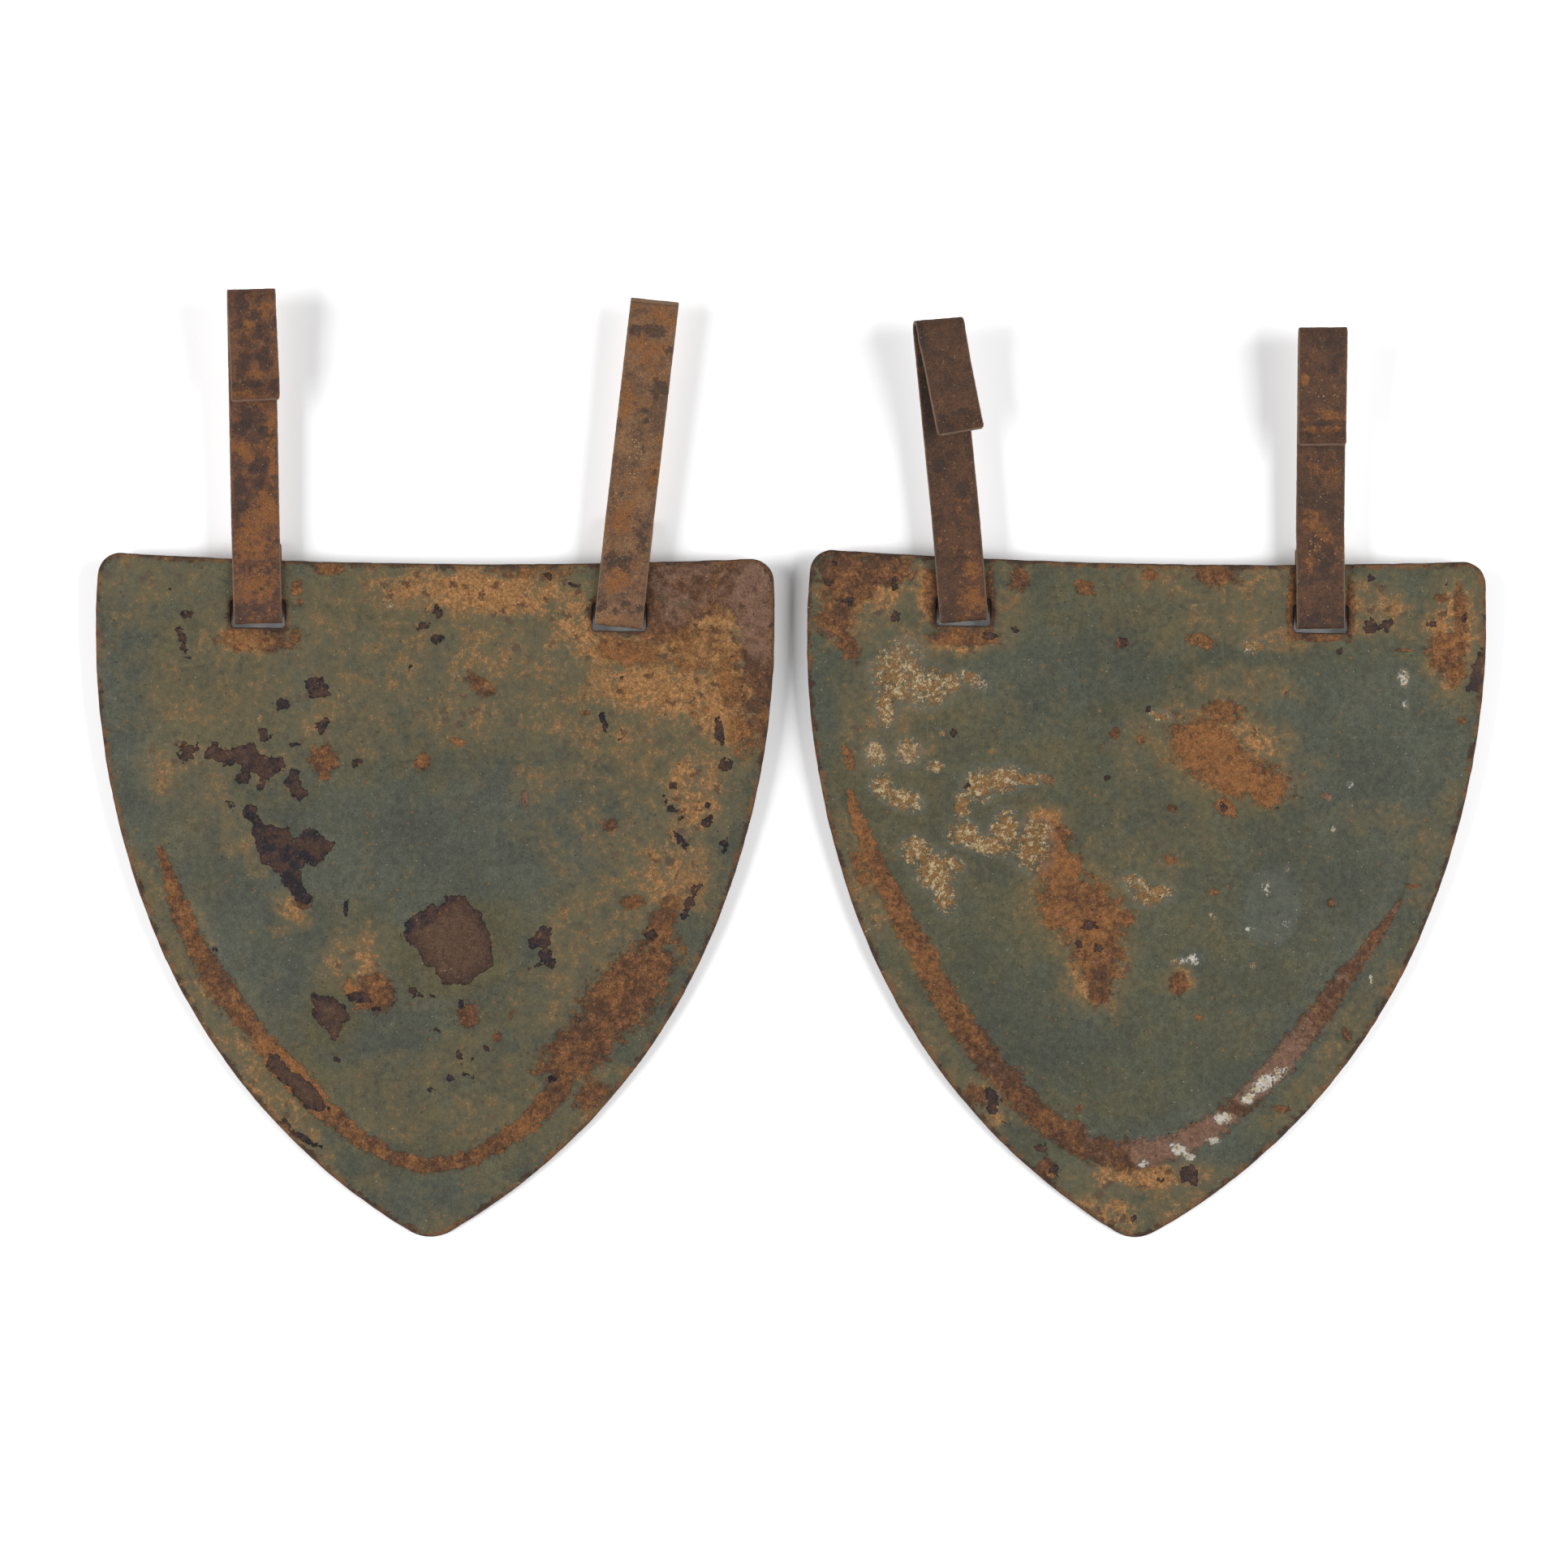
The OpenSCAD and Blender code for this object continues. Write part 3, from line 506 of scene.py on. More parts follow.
# The right plate's marks
right_marks = {
    "slots": (-37.8, 35.8),
    "turn": -1.1,
    "side": 1,
    "seed": 8,
    "chips": [
        [(69.6, -2.5), (68.4, -3.6), (67.8, -6), (66.9, -9.4), (66.2, -11.4), (68.2, -12.4), (69.6, -12)],
        [(44.4, 2), (46, 2.4), (48, 1.6), (49.6, 3), (51.4, 2.9), (51, 1.4), (48.4, 0.3), (46, 0),
         (44.6, 0.6)],
        [(-31.6, -95.4), (-29, -95.8), (-28, -98.4), (-29, -100.6), (-30.8, -99.9), (-31, -97.4)],
        [(8.8, -111.6), (11.4, -110.4), (13.2, -112.6), (12.4, -114.2), (9.8, -113.8)],
    ],
    "spots": [
        (-39.2, -22, 0.9, 0.9, 0), (-52, 8, 0.5, 1.0, 0), (-51.6, 1.4, 0.8, 1, 0), (-65.4, 8, 1.1, 0.8, 0),
        (-65, 12.4, 0.5, 0.4, 0), (-62, 4.4, 1.0, 0.6, 0), (-26.4, -102, 1.0, 0.5, -10),
        (-19.6, -107.6, 1.2, 0.8, 0), (-7.6, -31, 0.6, 0.5, 0), (-27, -1, 0.4, 0.6, 0),
        (40, -4.2, 0.5, 0.5, 0), (65, 3.4, 0.6, 0.7, 0), (-4.6, -3, 0.6, 0.6, 0), (28, -35, 0.9, 0.4, -20),
        (27.6, -36.6, 0.4, 0.3, 0), (-10.6, -61.4, 1.6, 1.1, 0), (-8.4, -66, 0.9, 1.4, 20),
        (-12.6, -65, 0.9, 0.8, 0), (58.4, 1.9, 0.8, 0.5, 0), (46.2, 11.4, 1.2, 0.9, 0),
        (-32.2, -2.4, 1.4, 0.8, 0), (0, -122, 0.7, 0.6, 0), (-17, -112, 1.2, 0.9, -30),
        (16.6, -36.6, 1, 0.7, 0), (-36, -33, 0.5, 0.5, 0), (61.6, 10, 0.4, 0.4, 0),
        (6.6, -113.6, 1, 0.6, 0), (1, -17, 0.6, 0.5, 0),
    ],
    "rust": [
        (13, -23.5, 8, 4.2, -25, 0.92), (18, -29, 12, 4.4, -18, 1), (25.6, -32.6, 4, 3.6, -20, 1),
        (16, -17, 4, 2.4, 0, 0.75), (17, -36.6, 2.6, 1.6, -40, 0.75), (6, -37, 1, 0.7, 0, 0.8),
        (-18.6, -42.6, 4, 2.4, 0, 1), (-17, -50, 4.6, 7, 30, 1), (-12.4, -58.6, 9, 6.6, -25, 1),
        (-8.6, -66, 5, 7.6, 8, 0.92), (-8.4, -75, 2.6, 2.6, 0, 0.9), (-3.4, -60, 2, 2, 0, 0.9),
        (-62, 9, 5.6, 6.4, 0, 1), (-54, 11, 6, 3, 0, 0.8), (-64, 1, 3.6, 4, -40, 0.9),
        (-61.6, -4.6, 2, 4, 30, 0.8), (14, 11.4, 4.4, 2.6, -8, 1), (-26.6, 9.6, 1.9, 2.8, -10, 0.95),
        (62, -4, 4, 4, 0, 0.95), (64.6, 3, 1.3, 7, 4, 0.85), (63.6, -8, 2, 3, 0, 0.75),
        (60.4, 7.4, 1.6, 0.8, 0, 0.8), (53, -3.6, 2, 0.4, 0, 0.85), (35, -1.4, 5.4, 0.8, 0, 0.9),
        (42, 5, 0.8, 7, 0, 0.9), (29.8, 5, 1.1, 7.4, 0, 1.3), (-32.4, 4, 1, 7, 0, 0.9),
        (-44.6, 6, 1.4, 6, 8, 1.0), (-38, -2.8, 7, 1.6, 0, 0.75), (-6, -22, 1, 1.2, 0, 0.9),
        (-1, -23, 1, 1, 0, 0.8), (8, -73, 1.8, 2.4, 0, 0.8), (5.8, -47.5, 1.4, 1, 0, 0.7),
        (14.8, -54.2, 1, 0.8, 0, 0.7), (39, -55.6, 0.9, 0.9, 0, 0.8), (56, -52, 1.6, 0.5, 0, 0.7),
        (12.4, -80, 0.8, 0.6, 0, 0.8), (37.6, -34, 1.4, 0.9, -30, 0.8), (0.4, 11, 1.4, 1.2, 0, 0.8),
        (-13, 8, 2.4, 1.4, -20, 0.7), (-19.6, -31.6, 1.1, 1, 0, 0.9), (-61, -28, 1, 3, 20, 0.7),
        (-58, -51, 1.4, 4.4, 20, 0.7), (-5, -3.4, 1.8, 1.2, 0, 0.7), (11, -2.4, 3, 1.4, -20, 0.7),
        (30, -98.6, 1.8, 0.7, 0, 0.7), (43, -83, 1.2, 1.6, 0, 0.6), (-33, -97, 2.4, 1.8, -20, 0.9),
        (65, -18, 0.9, 0.9, 0, 0.8), (-18, -112, 2.6, 2, -36, 0.85), (-12.6, -104.4, 2.6, 2.4, 0, 0.9),
        (-12, -99.4, 1.2, 0.9, 0, 0.8),
    ],
    "band": [
        (-60.4, -35, 0.7), (-59, -40, 1.4), (-56.6, -46, 1.8), (-53.4, -53, 2.1), (-49.4, -60, 2.3),
        (-45.4, -67, 2.5), (-41, -75.4, 2.7), (-36, -83, 2.6), (-30.6, -90, 3), (-25, -96, 2.8),
        (-19.4, -101.6, 2.6), (-12, -106.4, 2.6), (-4, -108.8, 2.9), (4, -108, 2.8), (11, -105.4, 2.6),
        (17.4, -101.4, 2.4), (24, -95, 2.4), (30, -88.4, 2.6), (35.6, -81, 2.4), (40.6, -73.6, 2.2),
        (45.4, -67, 1.5), (50, -60.6, 1), (53.4, -55.4, 0.6),
    ],
    "film": [
        (-58, 7, 12, 7, 0, 0.9), (-57, -2, 9, 4, 0, 0.58), (-45.4, 6, 3, 7.4, 6, 1.3),
        (15, 10, 18, 4, 0, 0.58), (-30, 5, 5, 9, 0, 0.48), (-38, -3.6, 8, 3, 0, 0.95),
        (46, 5, 8, 6, 0, 0.71), (18, 2, 9, 4, 0, 0.54), (63, 0, 6, 13, 0, 0.95),
        (16, -25, 16, 10, -20, 0.9), (20, -12, 10, 4, 0, 0.54), (2, -24, 8, 6, 0, 0.48),
        (-53, -17, 5, 12, 0, 0.5), (-58, -22, 4, 8, 0, 0.48), (-20, -40, 5, 4, 0, 0.95),
        (-13, -58, 11, 9, -30, 0.6), (-9, -70, 7, 9, 0, 0.76), (2, -113, 15, 3.6, 0, 0.95),
        (-6, -121, 10, 4, -10, 0.76), (8, -118, 8, 3, 30, 0.58), (-58, -52, 3, 12, 20, 0.58),
        (-46, -84, 4, 12, 36, 0.43), (-31, -99, 5, 6, 40, 0.76), (46, -80, 4, 14, -34, 0.48),
        (60, -44, 3, 12, -14, 0.38), (36, -94, 3, 10, -44, 0.43), (-46, -68, 2.4, 9, 30, 0.58),
        (-2, -48, 9, 6, 0, 0.33), (28, -2, 9, 2.4, 0, 0.58), (-24, -16, 6, 6, 0, 0.20),
        (-10, 7, 8, 5, 0, 0.25), (4, -1, 12, 4, 0, 0.22), (8, -72, 3.4, 3, 0, 0.76),
        (-36, -15, 4, 4, 0, 0.30), (-52, -14, 9, 15, 0, 0.36), (-40, -34, 18, 14, 0, 0.15),
        (4, -38, 12, 5, 0, 0.28), (46, -38, 8, 3, 0, 0.33),
    ],
    "pale": [
        (-51, -10, 5.2, 6.2, 0, 0.84), (-46, -13, 6.4, 4.0, 0, 0.80), (-53.4, -17.4, 2.1, 4, 0, 0.98),
        (-40, -12, 1.9, 2.4, 0, 0.9), (-35.4, -11.4, 3.1, 1.4, -30, 0.9),
        (-48.6, -26.4, 2.6, 2.8, 0, 1.05), (-55.4, -27, 2.1, 2.8, 20, 0.95),
        (-43, -29.4, 1.9, 1.2, 0, 0.92), (-54, -33.6, 2.4, 2.6, 0, 0.94),
        (-49.4, -36.2, 4.2, 2.2, -14, 1.1), (-34, -33, 3.3, 3.5, 0, 1), (-29, -31.6, 4.2, 2.8, 12, 1.05),
        (-23.6, -31.6, 4, 1.3, 8, 1), (-37.4, -37.4, 2, 2.8, 0, 1.05), (-37, -43, 3.5, 2.8, 0, 1.08),
        (-28.4, -42, 2.8, 4, 0, 1.06), (-31.6, -45.4, 5.4, 2.1, -10, 1.1), (-23, -46, 4, 4.2, 0, 1.15),
        (-22, -42, 3.1, 2.1, 0, 1.05), (-46.4, -47, 3.5, 3.1, -20, 1.1), (-42.6, -51, 4.2, 4.2, -20, 1.12),
        (-40.6, -56, 2.4, 3.8, 12, 1.1), (-38.6, -49.4, 2.4, 1.6, -30, 1.05),
        (2.4, -55, 4.2, 2.2, 10, 0.92), (-1, -53, 3.5, 1.9, -30, 0.75), (10.8, -68, 1.2, 1.2, 0, 1.32),
        (8, -68.4, 1.6, 0.7, 0, 0.66), (23.4, -69, 0.9, 0.8, 0, 0.66), (25.6, -53, 1, 1.3, 0, 0.52),
        (30, -48.8, 0.8, 0.8, 0, 0.52), (30, -60.4, 0.9, 0.7, 0, 0.52), (22.4, -61.4, 0.9, 0.7, 0, 0.52),
        (27, -57, 4.2, 6, 0, 0.32), (14.2, -58.6, 0.4, 0.5, 0, 1.3), (15.2, -59.4, 0.4, 0.4, 0, 1.3),
        (26.6, -92.8, 5.0, 1.5, 36, 1.7), (22.8, -96.6, 1.5, 1.2, 30, 1.5),
        (17.8, -100.6, 2.2, 1.3, 0, 1.7), (15.8, -105.4, 1.7, 0.8, 0, 1.3),
        (9, -107.4, 2.5, 1.3, -24, 1.7), (11, -108.8, 1.3, 0.8, 10, 1.3), (1.4, -110.4, 1.2, 0.8, 20, 1.3),
        (22, -3.4, 2.4, 1.6, 0, 0.86), (26, -2.2, 0.9, 0.7, 0, 1.2), (53, -9, 1.2, 1.8, 0, 0.66),
        (53.6, -14.6, 0.7, 0.8, 0, 0.66), (39.2, -40.6, 0.6, 0.6, 0, 0.66),
        (42.4, -31.4, 0.7, 0.7, 0, 0.66), (3, -18, 2.4, 1.1, -20, 0.8), (47.6, -71.4, 0.5, 1, 0, 1.1),
        (-55.4, -62.8, 2, 0.3, 34, 0.7), (9.6, 4.6, 0.8, 0.6, 0, 1.06), (-41.6, -22.6, 0.7, 0.7, 0, 1.1),
        (-31.4, -26, 1, 0.6, 0, 0.9),
    ],
    "tone": [
        (46, -22, 18, 12, 0, -0.9), (-24, -14, 10, 8, 0, -0.6), (-66, -18, 3, 12, 0, -0.6),
        (-22, -84, 12, 9, 0, -0.5), (12, -84, 20, 9, 0, -0.2), (30, -56, 12, 10, 0, -0.3),
        (50, -42, 12, 10, 0, -0.5), (17, -28, 12, 7, -20, 0.9), (-62, 9, 5, 5, 0, -0.3),
        (16, -100, 16, 5, 40, -0.5), (42, -72, 5, 20, -35, -0.60), (-12, -58, 9, 10, 0, 0.5),
        (-50, -62, 7, 30, 27, 0.2), (64, 0, 6, 14, 4, 0.3), (-14, -8, 14, 6, 0, -0.5),
        (4, 3, 16, 6, 0, 0.15), (-40, -34, 22, 18, 0, 0.3), (26, -93, 5, 1.6, 36, -0.9),
        (12, -106, 10, 5, 0, -0.9), (10.8, -68, 2, 2, 0, -1.6), (27, -57, 5, 6, 0, -1.1),
        (2, -54, 8, 5, 0, -0.2), (0, -108, 16, 5, 0, -0.5), (-52, -27, 6, 3, 0, -0.6),
        (-30, -31, 9, 3, 0, -0.4),
    ],
}


# The sheet's mesh is a fine lattice of triangles, with closer rows round its rounded, worn edges
lattice_top, lattice_back = 0.52, 1.1
edge_rows = (0.0, 0.14, 0.36)
edge_round_top, edge_round_back = 0.36, 0.2
outline_inset, nick_depth = 0.05, 0.10
nick_size, rough_back_size, rough_back_rust, rim_reach = 3.4, 5.0, 0.75, 5
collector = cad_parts["left_plate"].users_collection[0]


def pushed_in(loop, distance):
    """A closed loop's points, moved inwards to its left by a distance or by one for each point."""
    ahead = np.roll(loop, -1, axis=0) - np.roll(loop, 1, axis=0)
    ahead /= np.linalg.norm(ahead, axis=1)[:, None]
    return loop + np.column_stack([-ahead[:, 1], ahead[:, 0]]) * np.reshape(distance, (-1, 1))


def sheet_points(loops, slots, spacing):
    """The edge rows' points and a lattice inside them, and the sheet's faces on those points."""
    rows = [pushed_in(loop, d) for d in edge_rows for loop in loops]
    first = rows[:len(loops)]
    low, high = loops[0].min(0), loops[0].max(0)
    ys = np.arange(low[1], high[1], spacing * sqrt(0.75))
    xs = np.arange(low[0], high[0] + spacing, spacing)
    lattice = np.array([(x + (i % 2) * spacing / 2, y) for i, y in enumerate(ys) for x in xs])
    clear = edge_distance(lattice[:, 0], lattice[:, 1], slots)
    points = np.vstack(rows + [lattice[clear > edge_rows[-1] + outline_inset + nick_depth + spacing * 0.5]])
    edges, start = [], 0
    for loop in first:
        edges += [(start + i, start + (i + 1) % len(loop)) for i in range(len(loop))]
        start += len(loop)
    _, _, faces, origin, _, _ = delaunay_2d_cdt([tuple(p) for p in points], edges, [], 1, 1e-6)
    faces = np.array([[origin[i][0] for i in face] for face in faces])
    middle = points[faces].mean(1)
    keep = edge_distance(middle[:, 0], middle[:, 1], slots) > 0
    return points, faces[keep]


def keep_fields(mesh, fields, kind="FLOAT"):
    """Stores a number or a direction for each of a mesh's points, under a name."""
    for name, values in fields.items():
        key = "value" if kind == "FLOAT" else "vector"
        stored = mesh.attributes.new(name, kind, "POINT").data
        stored.foreach_set(key, np.asarray(values, np.float32).ravel())


def plate_mesh(name, marks):
    slots = marks["slots"]
    outline = plate_outline(outline_step)
    worn = waves(outline[:, 0], outline[:, 1], nick_size, marks["seed"], 4)
    outline = pushed_in(outline, outline_inset + nick_depth * smooth(worn * 2 - 0.5))
    loops = [outline] + [slot_outline(x, outline_step)[::-1] for x in slots]
    top, top_faces = sheet_points(loops, slots, lattice_top)
    back, back_faces = sheet_points(loops, slots, lattice_back)

    def rounding(points, r):
        d = np.full(len(points), r)
        start = 0
        for row in edge_rows:
            for loop in loops:
                d[start:start + len(loop)] = min(row, r)
                start += len(loop)
        return r - np.sqrt(r * r - (r - d) ** 2)

    top_z = relief(top[:, 0], top[:, 1]) + plate_t - rounding(top, edge_round_top)
    back_z = relief(back[:, 0], back[:, 1]) + rounding(back, edge_round_back)
    points = np.vstack([np.column_stack([top, top_z]), np.column_stack([back, back_z])])
    faces = [tuple(f) for f in top_faces] + [tuple(f[::-1] + len(top)) for f in back_faces]
    start = 0
    for loop in loops:
        for i in range(len(loop)):
            a, b = start + i, start + (i + 1) % len(loop)
            faces.append((a, a + len(top), b + len(top), b))
        start += len(loop)

    x, y = points[:, 0], points[:, 1]
    on_face = np.arange(len(points)) < len(top)
    rough = waves(x, y, rough_back_size, marks["seed"] + 1)
    rusty = np.maximum(marked(x, y, marks["rust"]), banded(x, y, marks["band"]))
    tones = [mark[5] * 2 * marked(x, y, [(*mark[:5], 0.5)]) for mark in marks["tone"]]

    mesh = bpy.data.meshes.new(name)
    mesh.from_pydata(points.tolist(), [], faces)
    keep_fields(mesh, {
        "chip": np.where(on_face, chipped(x, y, marks["chips"], marks["spots"]), no_chip),
        "rust": np.where(on_face, rusty, rough * rough_back_rust),
        "film": np.where(on_face, marked(x, y, marks["film"]), rough),
        "pale": np.where(on_face, marked(x, y, marks["pale"]), 0),
        "rim": np.clip(edge_distance(x, y, slots), 0, rim_reach),
        "tone": np.clip(sum(tones), -1, 1),
    })
    mesh.transform(plate_place(marks) @ Matrix.Scale(MM, 4))
    mesh.shade_smooth()
    return mesh


def plate_place(marks):
    """Moves a plate from its own frame to its place on the table, in metres."""
    across = marks["side"] * (plate_w + pair_gap) / 2
    place = Matrix.Translation((across * MM, -pair_mid_y * MM, plate_lift * MM))
    return place @ Matrix.Rotation(radians(marks["turn"]), 4, "Z") @ Matrix.Rotation(tip_angle, 4, "X")


class Surface(Tree):
    """A material's tree, with textures whose sizes are given in millimetres of the piece itself."""

    def __init__(self, name, seed):
        self.material = bpy.data.materials.new(name)
        super().__init__(emptied(self.material).tree)
        at = self.add("ShaderNodeTexCoord").outputs["Object"]
        self.mm = self.add("ShaderNodeVectorMath", {0: at, 3: 1000.0}, operation="SCALE").outputs[0]
        self.seed = seed

    def field(self, attribute):
        return self.add("ShaderNodeAttribute", attribute_name=attribute).outputs["Fac"]

    def noise(self, size, detail=4.0, roughness=0.55, shift=0.0, at=None):
        settings = {"Vector": at or self.mm, "W": self.seed + shift, "Scale": 1 / size,
                    "Detail": detail, "Roughness": roughness}
        return self.add("ShaderNodeTexNoise", settings, noise_dimensions="4D").outputs["Fac"]

    def cells(self, size, shift=0.0, at=None):
        """Distance in millimetres from the nearest of scattered points, and that point's own number."""
        moved = self.vector("ADD", at or self.mm, (shift * 37.0, shift * 11.0 + self.seed, 0))
        node = self.add("ShaderNodeTexVoronoi", {"Vector": moved, "Scale": 1 / size}, voronoi_dimensions="2D")
        pick = self.add("ShaderNodeSeparateColor", {0: node.outputs["Color"]}).outputs[2]
        return self.times(node.outputs["Distance"], size), pick

    def dots(self, size, radius, share, shift=0.0):
        """Small round specks of a radius, in a share of the cells."""
        away, pick = self.cells(size, shift)
        return self.times(self.band(away, radius * 1.15, radius * 0.75), self.math("LESS_THAN", pick, share))

    def swing(self, value, amount):
        """Noise moved to lie about zero."""
        return self.times(self.math("SUBTRACT", value, 0.5), amount)

    def mix(self, share, a, b):
        node = self.add("ShaderNodeMix", data_type="RGBA", clamp_factor=True)
        for index, value in ((0, share), (6, a), (7, b)):
            self.put((*value, 1) if isinstance(value, tuple) else value, node.inputs[index])
        return node.outputs[2]

    def laid(self, below, colour, share, strength):
        """Lays a colour on what is below it, over a share of the surface."""
        return self.mix(self.times(share, strength), below, colour)

    def shaded(self, colour, amount):
        """Makes a colour lighter or darker by a factor."""
        grey = self.add("ShaderNodeCombineXYZ", {0: amount, 1: amount, 2: amount}).outputs[0]
        return self.vector("MULTIPLY", colour, grey)

    def mottled(self, colour, *swings):
        """Shades a colour by noises, each with its darkest and its lightest factor."""
        for noise, darkest, lightest in swings:
            colour = self.shaded(colour, self.band(noise, 0.25, 0.75, darkest, lightest))
        return colour

    def finish(self, colour, roughness, gloss, height):
        bump = self.add("ShaderNodeBump", {"Strength": 1.0, "Distance": 1.0, "Height": height})
        shader = self.add("ShaderNodeBsdfPrincipled", {
            "Base Color": colour, "Roughness": roughness, "Specular IOR Level": gloss,
            "Normal": bump.outputs["Normal"],
        })
        self.add("ShaderNodeOutputMaterial", {"Surface": shader.outputs[0]})
        return self.material


old_scratch = (0.17, 0.17, 0.14)
tan_bloom, dull_ochre = (0.142, 0.112, 0.056), (0.192, 0.124, 0.060)
deep_ochre, bright_ochre, blister_brown = (0.240, 0.118, 0.046), (0.440, 0.226, 0.093), (0.080, 0.043, 0.028)
dark_rust, orange_rust, purple_rust = (0.100, 0.050, 0.031), (0.262, 0.116, 0.045), (0.236, 0.133, 0.089)
lime_haze, lime_stained, lime_white = (0.190, 0.200, 0.172), (0.290, 0.155, 0.058), (0.72, 0.68, 0.61)
lime_cream, lime_pit = (0.62, 0.49, 0.29), (0.120, 0.070, 0.038)
chip_middle, chip_edge_shadow = (0.104, 0.060, 0.039), (0.008, 0.006, 0.006)
edge_dark, edge_orange, edge_bare = (0.066, 0.038, 0.027), (0.210, 0.104, 0.048), (0.075, 0.046, 0.034)
soot, rust_grain, white_dust = (0.020, 0.014, 0.012), (0.260, 0.115, 0.035), (0.50, 0.44, 0.33)


def plate_paint(name, seed, blue_paint, olive_paint, old_steel, brown_steel):
    """Old grey-green paint over steel, with ochre stains, rust, bare chips and pale crusts."""
    t = Surface(name, seed)
    chip, rust, film, pale, rim, tone = map(t.field, ("chip", "rust", "film", "pale", "rim", "tone"))
    broad, patchy = t.noise(13.0, 3), t.noise(4.5, 6, 0.62)
    mottle, fine = t.noise(1.2, 7, 0.72, 1), t.noise(0.34, 4, 0.7)
    grain = t.noise(0.17, 2, 0.6)
    torn, crumb = t.noise(1.9, 7, 0.7, 2), t.noise(0.7, 5, 0.72, 3)

    # Paint, going from blue grey to olive, with a fine grain and a few long scratches
    warm = t.band(t.total(t.times(tone, 0.32), patchy, t.swing(broad, 0.5)), 0.15, 0.85)
    colour = t.mix(warm, blue_paint, olive_paint)
    colour = t.shaded(colour, t.band(broad, 0.30, 0.70, 0.84, 1.20))
    colour = t.mottled(colour, (mottle, 0.62, 1.40), (fine, 0.74, 1.28), (grain, 0.78, 1.22))
    for turn, shift in ((0.5, 0), (-0.9, 5), (1.9, 9)):
        stretch = {"Vector": t.mm, "Rotation": (0, 0, turn), "Scale": (1.0, 0.035, 0.1)}
        streak = t.noise(0.30, 1, 0.5, shift, t.add("ShaderNodeMapping", stretch).outputs[0])
        lines = t.times(t.band(streak, 0.69, 0.73), t.band(t.noise(9.0, 2, 0.5, shift + 20), 0.50, 0.66))
        colour = t.laid(colour, old_scratch, lines, 0.30)

    # Stain: first a tan bloom, then ochre grains that gather into patches and rings
    bend = t.add("ShaderNodeCombineXYZ", {0: t.swing(torn, 6.0), 1: t.swing(mottle, 5.0)}).outputs[0]
    bent = t.vector("ADD", t.mm, bend)
    net = t.add("ShaderNodeTexVoronoi", {"Vector": bent, "Scale": 1 / 2.9},
                voronoi_dimensions="2D", feature="DISTANCE_TO_EDGE").outputs["Distance"]
    walls = t.times(t.band(net, 0.30, 0.03), t.band(t.noise(6.0, 2, 0.5, 11), 0.40, 0.60))
    bloom = t.total(film, t.swing(patchy, 1.4), t.swing(mottle, 1.2))
    colour = t.laid(colour, tan_bloom, t.band(bloom, 0.05, 0.80), 0.78)
    gathered = t.total(
        film, t.swing(patchy, 1.8), t.swing(mottle, 1.7), t.swing(fine, 0.8), t.times(walls, 0.22),
    )
    ochre_share = t.times(t.band(gathered, 0.60, 1.08), 0.95)
    ochre = t.mix(t.band(crumb, 0.38, 0.62), deep_ochre, bright_ochre)
    ochre = t.mix(t.band(t.total(film, t.swing(broad, 0.8)), 0.95, 0.45, 0.0, 0.80), ochre, dull_ochre)
    ochre = t.mottled(ochre, (mottle, 0.70, 1.32), (fine, 0.70, 1.34), (grain, 0.72, 1.30))
    colour = t.mix(ochre_share, colour, ochre)
    blister, blister_pick = t.cells(2.9, 6, bent)
    blister = t.band(t.total(blister, t.swing(crumb, 0.7)), 0.85, 0.55)
    flecks = t.times(blister, t.math("GREATER_THAN", blister_pick, 0.66))
    flecks = t.times(flecks, t.band(t.total(film, t.swing(broad, 1.2)), 0.30, 0.80))
    colour = t.laid(colour, blister_brown, flecks, 0.75)

    # Rust, crumbling at its edges, from dark brown to bright orange, or dull purple where it is old
    crust = t.band(t.total(rust, t.swing(torn, 2.2), t.swing(crumb, 1.3), t.swing(fine, 0.7)), 0.40, 0.62)
    hot = t.band(t.total(t.times(tone, 0.26), crumb, t.swing(patchy, 1.2), t.swing(mottle, 0.9)), 0.30, 0.78)
    rusty = t.mix(hot, dark_rust, orange_rust)
    old = t.band(t.total(tone, t.swing(torn, 2.2), t.swing(patchy, 1.2)), -0.50, -1.0)
    rusty = t.laid(rusty, purple_rust, old, 0.85)
    rusty = t.mottled(rusty, (mottle, 0.66, 1.36), (fine, 0.68, 1.34), (grain, 0.74, 1.28))
    colour = t.laid(colour, rusty, crust, 0.95)

    # Pale crust, like dried lime, grey white where nothing rusty has coloured it
    haze = t.times(t.band(pale, 0.0, 0.5), t.band(patchy, 0.35, 0.65, 0.06, 0.30))
    colour = t.mix(haze, colour, lime_haze)
    bits = t.total(t.swing(crumb, 3.2), t.swing(fine, 2.0), t.swing(torn, 1.8))
    scale = t.band(t.total(pale, t.times(bits, t.band(pale, 0.15, 0.60))), 0.50, 0.84)
    lime = t.mix(t.band(tone, -0.2, -0.8), lime_stained, lime_white)
    lime = t.mix(t.band(t.total(mottle, t.swing(fine, 0.5)), 0.50, 0.60), lime, lime_cream)
    lime = t.laid(lime, lime_pit, t.band(crumb, 0.44, 0.38), 0.72)
    lime = t.mottled(lime, (grain, 0.66, 1.25))
    colour = t.laid(colour, lime, scale, 0.92)
